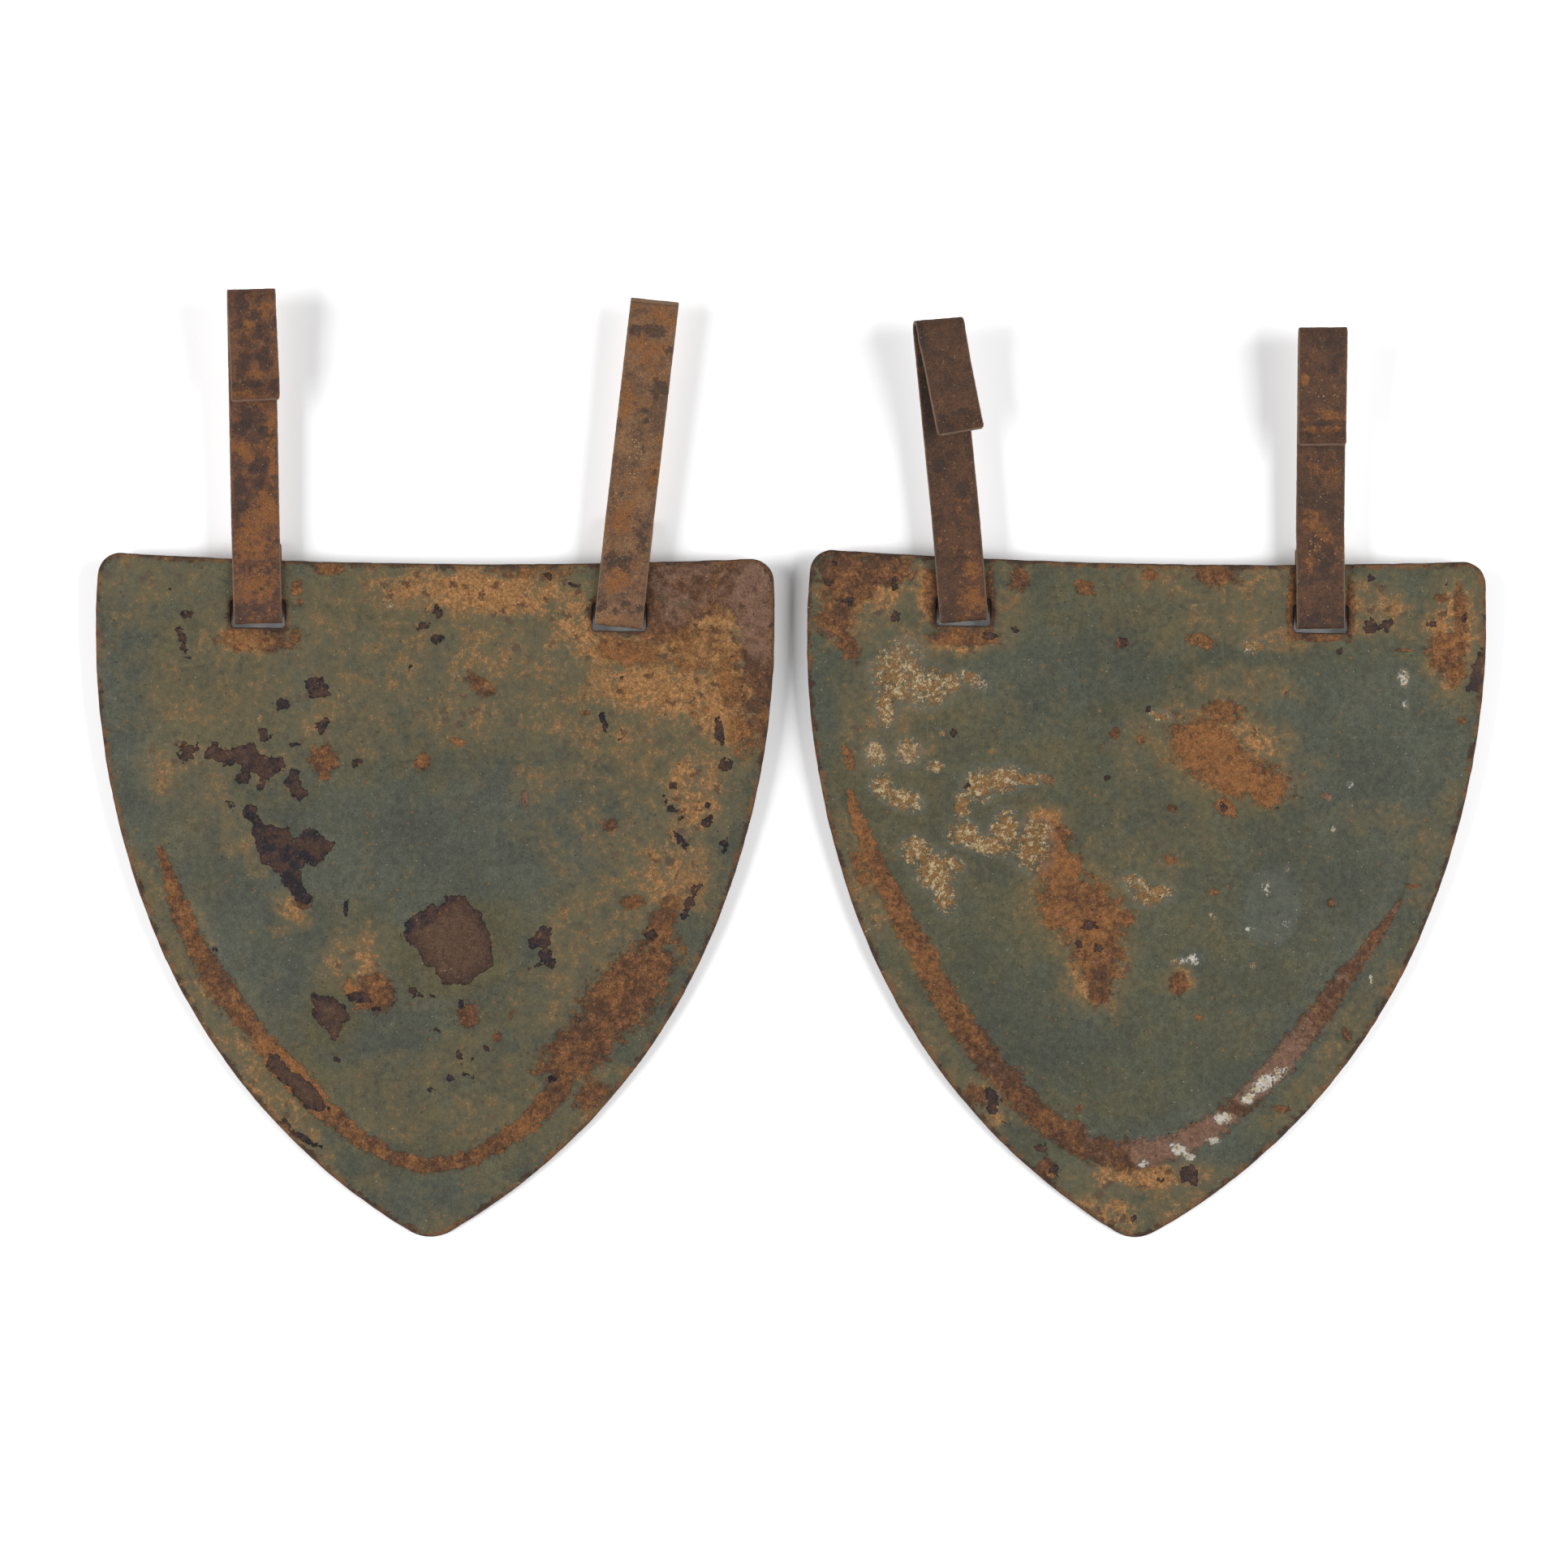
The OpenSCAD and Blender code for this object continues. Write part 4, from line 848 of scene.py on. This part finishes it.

    # Chips show old steel, brown in the middle of large ones and nearly black along their torn edges, where
    # the paint's thick edge is given a painted shadow
    tear = t.total(chip, t.swing(t.noise(2.2, 3, 0.5, 12), 3.4), t.swing(t.noise(0.8, 3, 0.55, 13), 1.9))
    bare = t.band(tear, -0.04, 0.06)
    browned = t.total(torn, t.swing(patchy, 0.8), t.swing(crumb, 0.5), t.band(tone, 0.0, 1.0, 0.0, 0.12))
    metal = t.mix(t.band(browned, 0.40, 0.60), old_steel, brown_steel)
    middle = t.times(t.band(chip, 0.0, 3.2), t.band(t.total(tone, t.swing(patchy, 1.6)), -0.1, 0.7))
    metal = t.mix(middle, metal, chip_middle)
    metal = t.mottled(metal, (mottle, 0.70, 1.34), (fine, 0.62, 1.46), (grain, 0.80, 1.22))
    # Painted shadow: a dark band inside each chip's edge stands for the shade of the paint's raised edge
    metal = t.laid(metal, chip_edge_shadow, t.band(tear, 0.34, 0.12), 0.6)
    colour = t.mix(bare, colour, metal)

    # The sheet's edge is rubbed down to brown steel
    worn = t.band(t.total(rim, t.swing(torn, 5.0), t.swing(crumb, 2.4)), 1.35, 0.60)
    edge = t.mix(t.band(patchy, 0.42, 0.58), edge_dark, edge_orange)
    edge = t.mix(t.band(rim, 0.45, 0.15), edge, edge_bare)
    colour = t.laid(colour, t.mottled(edge, (fine, 0.65, 1.35)), worn, 0.9)

    # Grains of soot, rust and white dust lie all over
    colour = t.laid(colour, soot, t.dots(3.4, 0.22, 0.16, 3), 0.7)
    colour = t.laid(colour, rust_grain, t.times(t.dots(2.6, 0.28, 0.30, 2), t.band(patchy, 0.44, 0.60)), 0.65)
    colour = t.laid(colour, white_dust, t.times(t.dots(1.9, 0.11, 0.10), t.band(fine, 0.36, 0.60)), 0.85)

    covered = crust
    for share in (ochre_share, scale, bare, worn):
        covered = t.math("MAXIMUM", covered, share)
    height = t.total(
        t.times(grain, 0.000016),
        t.times(t.times(crust, t.total(crumb, 0.4)), 0.00012),
        t.times(t.times(ochre_share, mottle), 0.00005),
        t.times(t.times(scale, crumb), 0.00010),
        t.times(bare, -0.00010),
    )
    roughness, gloss = t.band(covered, 0.0, 1.0, 0.62, 0.88), t.band(covered, 0.0, 1.0, 0.32, 0.18)
    return t.finish(colour, roughness, gloss, height)


def maker_tree(name, *inputs):
    """A Geometry Nodes tree with named inputs, and what the node of its inputs gives."""
    group = bpy.data.node_groups.new(name, "GeometryNodeTree")
    sockets = [("Geometry", "Geometry"), *((title, "Float") for title in inputs), ("Material", "Material")]
    for title, kind in sockets:
        group.interface.new_socket(name=title, in_out="INPUT", socket_type="NodeSocket" + kind)
    group.interface.new_socket(name="Geometry", in_out="OUTPUT", socket_type="NodeSocketGeometry")
    t = Tree(group)
    return t, t.add("NodeGroupInput").outputs


def lumpy(t, given, size, roughness):
    """Noise through a piece's own space, with lumps of about that size."""
    settings = {"Vector": t.add("GeometryNodeInputPosition").outputs[0], "W": given["Seed"],
                "Scale": t.math("DIVIDE", 1.0, given[size]), "Detail": 4.0, "Roughness": roughness}
    return t.add("ShaderNodeTexNoise", settings, noise_dimensions="4D").outputs[0]


def pushed_out(t, geometry, distance):
    """Moves each point out along its normal."""
    normal = t.add("GeometryNodeInputNormal").outputs[0]
    offset = t.add("ShaderNodeVectorMath", {0: normal, 3: distance}, operation="SCALE").outputs[0]
    return t.add("GeometryNodeSetPosition", {"Geometry": geometry, "Offset": offset}).outputs[0]


def tree_end(t, given, geometry):
    """Ends a tree with plain geometry in the material that it was given."""
    real = t.add("GeometryNodeRealizeInstances", {0: geometry}).outputs[0]
    done = t.add("GeometryNodeSetMaterial", {"Geometry": real, "Material": given["Material"]}).outputs[0]
    t.add("NodeGroupOutput", {0: done})
    return t.tree


def weathered_sheet():
    """Raises a sheet's rust and crusts off its surface, and sinks its chips, by its own fields."""
    titles = ("Blister height", "Crust height", "Chip depth", "Lump size", "Seed")
    t, given = maker_tree("weathered_sheet", *titles)

    def field(name):
        node = t.add("GeometryNodeInputNamedAttribute", {"Name": name}, data_type="FLOAT")
        return node.outputs["Attribute"]

    lumps = lumpy(t, given, "Lump size", 0.62)
    bite = t.math("ADD", field("rust"), t.math("SUBTRACT", lumps, 0.5))
    blister = t.times(t.band(bite, 0.40, 0.85), t.times(lumps, given["Blister height"]))
    crust = t.times(t.band(field("pale"), 0.4, 0.8), t.times(lumps, given["Crust height"]))
    chip = t.times(t.band(field("chip"), -0.1, 0.5), given["Chip depth"])
    rise = t.times(t.math("SUBTRACT", t.math("ADD", blister, crust), chip), t.band(field("rim"), 0.3, 1.6))
    return tree_end(t, given, pushed_out(t, given["Geometry"], rise))


def made_by(group, start_mesh, name, settings):
    """Runs a tree on a mesh, with its inputs set by name, and returns the result as a plain piece."""
    maker = bpy.data.objects.new(name + "_maker", start_mesh)
    bpy.context.scene.collection.objects.link(maker)
    modifier = maker.modifiers.new("tree", "NODES")
    modifier.node_group = group
    for item in group.interface.items_tree:
        if item.in_out == "INPUT" and item.name in settings:
            modifier[item.identifier] = settings[item.name]
    solved = maker.evaluated_get(bpy.context.evaluated_depsgraph_get())
    mesh = bpy.data.meshes.new_from_object(solved)
    mesh.name = name
    bpy.data.objects.remove(maker)
    piece = bpy.data.objects.new(name, mesh)
    collector.objects.link(piece)
    return piece


sheet_tree = weathered_sheet()
left_paint = plate_paint("left_field_grey", 3.1, (0.069, 0.073, 0.054), (0.088, 0.077, 0.038),
                         (0.023, 0.020, 0.025), (0.074, 0.043, 0.032))
right_paint = plate_paint("right_field_grey", 7.7, (0.067, 0.072, 0.051), (0.083, 0.074, 0.036),
                          (0.046, 0.033, 0.031), (0.086, 0.049, 0.036))
for node, body, marks, paint in (
    ("left_plate", "left_guard", left_marks, left_paint),
    ("right_plate", "right_guard", right_marks, right_paint),
):
    sheet = made_by(sheet_tree, plate_mesh(node + "_start", marks), node + "_sheet", {
        "Blister height": 0.00034, "Crust height": 0.00016, "Chip depth": 0.00007,
        "Lump size": 0.0017, "Seed": marks["seed"] * 1.7, "Material": paint,
    })
    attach(sheet, body)
    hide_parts(node)


# The straps are strips of mild steel, bent cold and never painted, rusted to a dull purple brown.
# Each is folded round the land above its slot, with a short tail behind the plate.
# Its upper end is folded forwards and down into a spring hook, which one strap has lost.
strap_w, strap_t, strap_edge_r, strap_corner_r = 10.0, 0.8, 0.22, 0.8
wrap_room, slot_foot_room = 0.25, 0.8
hook_gap, hook_pinch, lip_len, lip_kick, crease_bend = 3.8, 2.2, 4.2, radians(22), 0.9
stub_gap, stub_corner_r = 1.8, 0.3
arc_step, row_step = 0.2, 0.36
wide_side_cuts, narrow_side_cuts = 26.0, 4.0
end_rows = np.array([0.0, 0.05, 0.12, 0.22, 0.36, 0.55, 0.8])
first_row = 1.1

# How far round its fold, as a share, a hook starts to sink, twist and roll, and over what length
sink_from, sink_over = 0.75, 6.0
twist_from, twist_over = 0.6, 3.0
roll_from, roll_over = 0.7, 9.0

wrap_r = plate_t / 2 + wrap_room + strap_t / 2
wrap_outer_r = wrap_r + strap_t / 2
wrap_c = np.array([wrap_outer_r + slot_foot_room - slot_h / 2, plate_t / 2])
strap_foot_y = wrap_c[0] - wrap_outer_r
leg_front_z = plate_t + wrap_room + strap_t

# A strap's marks are (length along it from its upper fold, across, half length, half width, turn, strength).
# Dark marks about 24 mm along, in a hook's crease, are painted shade. The long dark mark on the left of the
# inner right strap's leg is the painted shadow of its hook's arm. The wide dark bands low on the inner left
# and outer right straps are painted shade at their lower folds.
# Warm bands just before and after a hook's crease, on the outer straps, are painted highlights on its bend
# and lip.
straps = {
    "left_outer_strap": {
        "marks": left_marks, "slot_x": -36.5, "lean": 2.0, "length": 68.8, "tail": 17.0,
        "hook": 23.1, "bow": 0.55, "slip": 0.35, "twist": 1.2, "roll": 2.3, "sink": 0.4, "seed": 11,
        "warm": [
            (-25, 3.6, 3, 1.2, 0, 1), (-33, 3.6, 6, 1, 0, 0.9), (-41, 2.4, 4, 2, 0, 0.9),
            (-30.5, -0.4, 1.6, 3, 0, 0.8), (-48, 1, 5, 4, 0, 0.5), (13.4, -0.8, 4.4, 1.1, 0, 0.6),
            (22.2, -0.4, 0.7, 3.6, 0, 0.7), (26.4, 0, 0.8, 4.4, 0, 0.6), (9, 2.6, 1.6, 1.6, 0, 0.6),
            (-16, 1, 6, 3, 0, 0.5), (-54, 0, 8, 4, 0, 0.5),
        ],
        "dark": [
            (-23.5, -0.8, 2.4, 2.2, 0, 1), (-26.4, -3, 1.8, 1.8, 0, 1), (-27, 2, 1.4, 1.8, 0, 1),
            (-34, 0.8, 3.6, 2.4, 20, 1), (-37.4, -3.2, 3, 1.5, 0, 1), (-42.4, -3, 2.4, 2, 0, 0.8),
            (24.1, 0, 0.7, 5, 0, 0.9), (18.6, 2, 3, 1.8, 0, 0.9), (19.3, -3, 3, 1.2, 0, 0.8),
            (7.8, -2.4, 2.4, 1.6, 0, 0.8), (14, 1, 6, 4, 0, 0.45),
        ],
        "pale": [],
    },
    "left_inner_strap": {
        "marks": left_marks, "slot_x": 37.9, "lean": -5.5, "length": 67.7, "tail": 22.4,
        "hook": None, "bow": 0.7, "slip": 0.0, "twist": 0.0, "roll": 0.0, "sink": 0.0, "seed": 12,
        "warm": [
            (-2, 2, 2, 3, 0, 0.9), (-8, 0, 1.6, 4, 0, 0.8), (-21, -3.6, 4, 1.2, 0, 0.8),
            (-43, -1.5, 3, 2.6, 0, 1), (-56, -1.6, 3, 2, 0, 0.9), (-34, 3.6, 3, 1.2, 0, 0.8),
            (-12, 2, 3, 2.4, 0, 0.5),
        ],
        "dark": [
            (-5.2, -0.6, 1.4, 4, 0, 0.9), (-16.6, 3.2, 2, 1.8, 0, 0.9), (-8.4, 3.6, 1, 1.4, 0, 0.9),
            (-47, 2.8, 4, 1.8, 0, 0.8), (-22, 1, 1.4, 1.4, 0, 0.7), (-52, 0, 2, 3.4, 0, 0.7),
            (-62, 0, 1.2, 5, 0, 0.6),
        ],
        "pale": [(-31, -0.6, 6, 2.6, 0, 1), (-40, -3, 2.4, 1.4, 0, 0.9), (-52, -1.6, 5, 2.6, 0, 0.6)],
    },
    "right_inner_strap": {
        "marks": right_marks, "slot_x": -37.8, "lean": 5.8, "length": 62.5, "tail": 14.5,
        "hook": 23.7, "bow": -1.1, "slip": 0.8, "twist": 5.6, "roll": 14.0, "sink": 0.8, "seed": 13,
        "warm": [(-38, 2, 4, 2, 0, 0.7), (-52, 1, 6, 3, 0, 0.8), (-44, -2, 3, 2, 0, 0.6)],
        "dark": [
            (-12, -3.6, 14, 1.4, 0, 1), (-27.4, -2.6, 1.6, 1.4, 0, 1), (-32, 2, 2.4, 1.8, 0, 0.7),
            (24.2, 0, 0.7, 5, 0, 0.8), (5, -4.4, 6, 0.8, 0, 0.9), (-4, 0, 5, 5, 0, 0.7),
        ],
        "pale": [],
    },
    "right_outer_strap": {
        "marks": right_marks, "slot_x": 35.8, "lean": 1.7, "length": 62.0, "tail": 17.0,
        "hook": 24.4, "bow": 1.2, "slip": 0.0, "twist": 0.0, "roll": 1.0, "sink": 0.1, "seed": 14,
        "warm": [
            (-36, -2, 3, 1.6, 0, 0.8), (-41, 0.5, 3, 3, 0, 0.8), (-47, -2.6, 3, 1.4, 0, 0.9),
            (-26, 0, 3, 4, 0, 0.6), (22.8, 0, 1.6, 4.6, 0, 0.8), (25.8, 0.4, 0.8, 4, 0, 0.7),
            (15.4, -3.6, 1.2, 0.8, 0, 1),
        ],
        "dark": [
            (24.2, 0, 0.6, 5, 0, 0.8), (-20.6, 0, 0.8, 5, 0, 0.9), (-45, 1.4, 4, 2, 0, 0.8),
            (-58, 0, 2, 5, 0, 0.7), (10, 2, 4, 2, 0, 0.6),
        ],
        "pale": [(-42, -1, 4, 2.6, 0, 0.9), (19, 0, 2.4, 4, 0, 0.7), (-33, 0.6, 3, 1.4, 0, 0.6)],
    },
}


def tail_splay(tail, slot_x):
    """How far the tail leans back, so that its end rests on the table."""
    run = tail - wrap_outer_r
    a = wrap_outer_r * tan(tip_angle) + run
    b = wrap_outer_r - run * tan(tip_angle)
    c = plate_lift / cos(tip_angle) + (slot_mid_y(slot_x) + wrap_c[0]) * tan(tip_angle) + wrap_c[1]
    return asin(c / hypot(a, b)) - atan2(b, a)


def strap_line(strap):
    """The middle of the strip's thickness, as points (up, out), and where its hook's fold starts."""
    splay = tail_splay(strap["tail"], strap["slot_x"])
    back = wrap_c + wrap_r * toward(1.5 * pi - splay)
    tail_end = back + (strap["tail"] - wrap_outer_r) * toward(-splay)
    foot = [tail_end, *arc(wrap_c, wrap_r, 1.5 * pi - splay, pi / 2, arc_step)]
    top_y = strap_foot_y + strap["length"]
    inner_r = (hook_gap if strap["hook"] else stub_gap) / 2
    fold_c = np.array([top_y - inner_r - strap_t, leg_front_z + inner_r])
    fold_r = inner_r + strap_t / 2
    if not strap["hook"]:
        fold = arc(fold_c, fold_r, -pi / 2, 0, arc_step)
        return np.array([*foot, *fold, fold_c + fold_r * toward(0)]), len(foot)
    run = strap["hook"] - inner_r - strap_t - lip_len * cos(lip_kick)
    closing = acos((hook_pinch - inner_r) / hypot(inner_r, run)) - atan2(run, inner_r)
    arm_out, lip_out = pi / 2 + closing, pi / 2 - lip_kick
    fold = arc(fold_c, fold_r, -pi / 2, arm_out, arc_step)
    inner_crease = fold_c + inner_r * toward(arm_out) + run * toward(arm_out + pi / 2)
    half_bend = (arm_out - lip_out) / 2
    crease = inner_crease + strap_t / 2 / cos(half_bend) * toward(lip_out + half_bend)
    lip_end = inner_crease + strap_t / 2 * toward(lip_out) + lip_len * toward(lip_out + pi / 2)
    before = crease - crease_bend * toward(arm_out + pi / 2)
    after = crease + crease_bend * toward(lip_out + pi / 2)
    bend = [(1 - s) ** 2 * before + 2 * s * (1 - s) * crease + s * s * after for s in np.linspace(0, 1, 7)]
    arm_start = fold_c + fold_r * toward(arm_out)
    return np.array([*foot, *fold, arm_start, *bend, lip_end]), len(foot)


def lengths_along(points):
    return np.concatenate([[0], np.cumsum(np.linalg.norm(np.diff(points, axis=0), axis=1))])


def rounded_share(from_end, r, half):
    """The share of a half width that is left near an end with a corner of radius r."""
    d = np.minimum(from_end, r)
    return (half - r + np.sqrt(r * r - (r - d) ** 2)) / half


def strap_path(name, strap):
    """The strap's path as a line of edges, with its width's and its face's directions at each point."""
    line, fold_at = strap_line(strap)
    s = lengths_along(line)
    total, fold_start = s[-1], s[fold_at]
    fold_len = (hook_gap + strap_t) / 2 * pi
    middle_rows = np.arange(first_row, total - first_row, row_step)
    rows = np.concatenate([end_rows, middle_rows, total - end_rows[::-1]])

    def eased(start, length):
        return smooth((rows - fold_start - fold_len * start) / length)

    up, out = np.interp(rows, s, line[:, 0]), np.interp(rows, s, line[:, 1])
    hook_top = strap_foot_y + strap["length"] - hook_gap / 2 - 2 * strap_t
    below = np.maximum(hook_top - up, 0) * (rows > fold_start + fold_len / 2)
    risen = np.clip((up - top_edge_y(0) - slot_h) / strap["length"], 0, 1)
    across = strap["bow"] * risen + strap["slip"] * eased(0, fold_len) + below * tan(radians(strap["twist"]))
    out -= strap["sink"] * eased(sink_from, sink_over)
    points = np.column_stack([across, up, out])
    tangent = np.gradient(points, rows, axis=0)
    tangent /= np.linalg.norm(tangent, axis=1)[:, None]
    turn = radians(strap["twist"]) * eased(twist_from, twist_over)
    roll = radians(strap["roll"]) * eased(roll_from, roll_over)
    side = np.column_stack([np.cos(turn) * np.cos(roll), np.sin(turn) * np.cos(roll), -np.sin(roll)])
    facing = np.cross(side, tangent)
    facing /= np.linalg.norm(facing, axis=1)[:, None]

    lip_r = strap_corner_r if strap["hook"] else stub_corner_r
    half_w, half_t = strap_w / 2, strap_t / 2
    seat = Matrix.Translation((strap["slot_x"] * MM, slot_mid_y(strap["slot_x"]) * MM, 0))
    place = plate_place(strap["marks"]) @ seat @ Matrix.Rotation(radians(strap["lean"]), 4, "Z")
    turned = np.array(place.to_3x3()).T
    points = points * MM @ turned + np.array(place.translation)
    mesh = bpy.data.meshes.new(name)
    mesh.from_pydata(points.tolist(), [(i, i + 1) for i in range(len(rows) - 1)], [])
    keep_fields(mesh, {"centre": points, "side": side @ turned, "facing": facing @ turned}, "FLOAT_VECTOR")
    tail_share = rounded_share(rows, strap_corner_r, half_w)
    keep_fields(mesh, {
        "width_share": tail_share * rounded_share(total - rows, lip_r, half_w),
        "thin_share": rounded_share(np.minimum(rows, total - rows), strap_edge_r, half_t),
        "along": rows,
        "hook_from": rows - fold_start,
    })
    return mesh


def bent_strip():
    """Sweeps a strip with rounded edges along a path, rounds off its ends and pits it with rust."""
    t, given = maker_tree("bent_strip", "Width", "Thickness", "Edge radius", "Pit depth", "Pit size", "Seed")

    def field(name, kind="FLOAT_VECTOR"):
        return t.add("GeometryNodeInputNamedAttribute", {"Name": name}, data_type=kind).outputs["Attribute"]

    def scaled(vector, amount):
        return t.add("ShaderNodeVectorMath", {0: vector, 3: amount}, operation="SCALE").outputs[0]

    def nearer(offset, direction, share):
        """What moves a point across to a share of its distance from the middle line."""
        away = t.add("ShaderNodeVectorMath", {0: offset, 1: direction}, operation="DOT_PRODUCT")
        change = t.math("SUBTRACT", field(share, "FLOAT"), 1.0)
        return scaled(direction, t.times(away.outputs["Value"], change))

    at = t.add("GeometryNodeInputPosition").outputs[0]
    path = t.add("GeometryNodeMeshToCurve", {"Mesh": given["Geometry"]}).outputs[0]
    settings = {"Curve": path, "Normal": field("side")}
    path = t.add("GeometryNodeSetCurveNormal", settings, mode="FREE").outputs[0]

    # The profile is a rectangle, cut finely along its wide sides, with its corners drawn round.
    # Its sides are counted from 0, and the narrow ones have odd numbers.
    oblong = {"Width": given["Width"], "Height": given["Thickness"]}
    flat = t.add("GeometryNodeCurvePrimitiveQuadrilateral", oblong).outputs[0]
    on_narrow = t.math("MODULO", t.add("GeometryNodeInputIndex").outputs[0], 2.0)
    cuts = t.math("MULTIPLY_ADD", on_narrow, narrow_side_cuts - wide_side_cuts, wide_side_cuts)
    fine = t.add("GeometryNodeSubdivideCurve", {"Curve": flat, "Cuts": cuts}).outputs[0]
    edge_r = given["Edge radius"]
    less = t.times(edge_r, -1.0)
    half_w, half_t = (t.math("MULTIPLY_ADD", given[size], 0.5, less) for size in ("Width", "Thickness"))
    room = t.add("ShaderNodeCombineXYZ", {0: half_w, 1: half_t}).outputs[0]
    core = t.vector("MAXIMUM", t.vector("MINIMUM", at, room), scaled(room, -1.0))
    way = t.vector("NORMALIZE", t.vector("SUBTRACT", at, core), (0, 0, 0))
    rounded = t.vector("ADD", core, scaled(way, edge_r))
    profile = t.add("GeometryNodeSetPosition", {"Geometry": fine, "Position": rounded}).outputs[0]

    sweep = {"Curve": path, "Profile Curve": profile, "Fill Caps": True}
    swept = t.add("GeometryNodeCurveToMesh", sweep).outputs[0]
    off = t.vector("SUBTRACT", at, field("centre"))
    narrowed = nearer(off, field("side"), "width_share")
    inwards = t.vector("ADD", narrowed, nearer(off, field("facing"), "thin_share"))
    ended = t.add("GeometryNodeSetPosition", {"Geometry": swept, "Offset": inwards}).outputs[0]

    depth = t.times(t.band(lumpy(t, given, "Pit size", 0.6), 0.35, 0.75), t.times(given["Pit depth"], -1.0))
    smoothed = t.add("GeometryNodeSetShadeSmooth", {"Geometry": pushed_out(t, ended, depth)}).outputs[0]
    return tree_end(t, given, smoothed)


strip_orange, strip_blot_and_shade, rubbed_steel_and_highlight = (0.270, 0.112, 0.038), (0.044, 0.032, 0.029), (0.250, 0.175, 0.120)
strip_dust, strip_lime = (0.42, 0.33, 0.22), (0.52, 0.36, 0.17)


def strip_rust(name, seed, dark, brown, orange_share):
    """Bare steel that has rusted evenly to purple brown, with orange patches and dark spots, some of them
    painted highlight and shade at its folds.
    """
    t = Surface(name, seed)
    patchy, mottle = t.noise(3.4, 6, 0.62), t.noise(1.1, 6, 0.7, 1)
    fine, grain = t.noise(0.34, 4, 0.7), t.noise(0.17, 2, 0.6)
    colour = t.mix(t.band(t.total(patchy, t.swing(mottle, 0.6)), 0.34, 0.66), dark, brown)
    # Warm marks raise the orange rust; beside hook creases they are painted highlight
    spread = t.total(t.noise(5.0, 6, 0.68, 4), t.swing(mottle, 0.9), t.times(t.field("warm"), 0.24))
    orange = t.band(spread, 0.62 - orange_share, 0.84 - orange_share)
    colour = t.laid(colour, strip_orange, orange, 0.8)
    # Dark marks give dark rust spots, and also painted shade in hook creases, under the inner right hook's
    # arm and at two lower folds
    blot_and_shade = t.total(t.noise(2.4, 5, 0.6, 8), t.swing(mottle, 0.5), t.times(t.field("dark"), 0.24))
    colour = t.laid(colour, strip_blot_and_shade, t.band(blot_and_shade, 0.60, 0.70), 0.72)
    colour = t.mottled(colour, (fine, 0.70, 1.32), (grain, 0.66, 1.38))
    # Light steel along the edges and ends is partly rubbed bare and partly a painted highlight of their
    # rounded corners
    rubbed_and_highlit = t.band(t.total(t.field("edge"), t.swing(mottle, 0.5)), 0.34, 0.12)
    colour = t.laid(colour, rubbed_steel_and_highlight, rubbed_and_highlit, 0.65)
    colour = t.laid(colour, strip_dust, t.dots(1.5, 0.11, 0.16), 0.8)
    powdered = t.band(t.total(t.field("pale"), t.swing(mottle, 1.6)), 0.5, 0.9)
    colour = t.laid(colour, strip_lime, t.times(t.dots(0.8, 0.15, 0.5, 5), powdered), 0.85)
    height = t.total(t.times(fine, 0.00008), t.times(mottle, 0.00010), t.times(grain, 0.00003))
    return t.finish(colour, 0.78, 0.20, height)


def field_of(mesh, name, width=1):
    """Reads a number or a direction for each of a mesh's points."""
    values = np.zeros(len(mesh.vertices) * width, np.float32)
    mesh.attributes[name].data.foreach_get("value" if width == 1 else "vector", values)
    return values.reshape(-1, width) if width > 1 else values


# Each strip's dark and light brown, and how much of it is orange
strip_looks = {
    "left_outer_strap": ((0.076, 0.045, 0.035), (0.186, 0.084, 0.044), 0.09),
    "left_inner_strap": ((0.132, 0.076, 0.048), (0.262, 0.142, 0.074), 0.10),
    "right_inner_strap": ((0.072, 0.041, 0.028), (0.124, 0.062, 0.037), 0.02),
    "right_outer_strap": ((0.072, 0.043, 0.031), (0.132, 0.066, 0.039), 0.04),
}
strip_tree = bent_strip()
for name, strap in straps.items():
    strip = made_by(strip_tree, strap_path(name + "_path", strap), name + "_strip", {
        "Width": strap_w * MM, "Thickness": strap_t * MM, "Edge radius": strap_edge_r * MM,
        "Pit depth": 0.00007, "Pit size": 0.0012, "Seed": float(strap["seed"]),
        "Material": strip_rust(name + "_rust", strap["seed"] * 1.3, *strip_looks[name]),
    })
    mesh = strip.data
    off = field_of(mesh, "position", 3) - field_of(mesh, "centre", 3)
    across = (off * field_of(mesh, "side", 3)).sum(1) / MM
    along, from_fold = field_of(mesh, "along"), field_of(mesh, "hook_from")
    keep_fields(mesh, {"edge": np.minimum(strap_w / 2 - np.abs(across), along.max() - along)})
    keep_fields(mesh, {mark: marked(from_fold, across, strap[mark]) for mark in ("warm", "dark", "pale")})
    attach(strip, name)
    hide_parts(name)
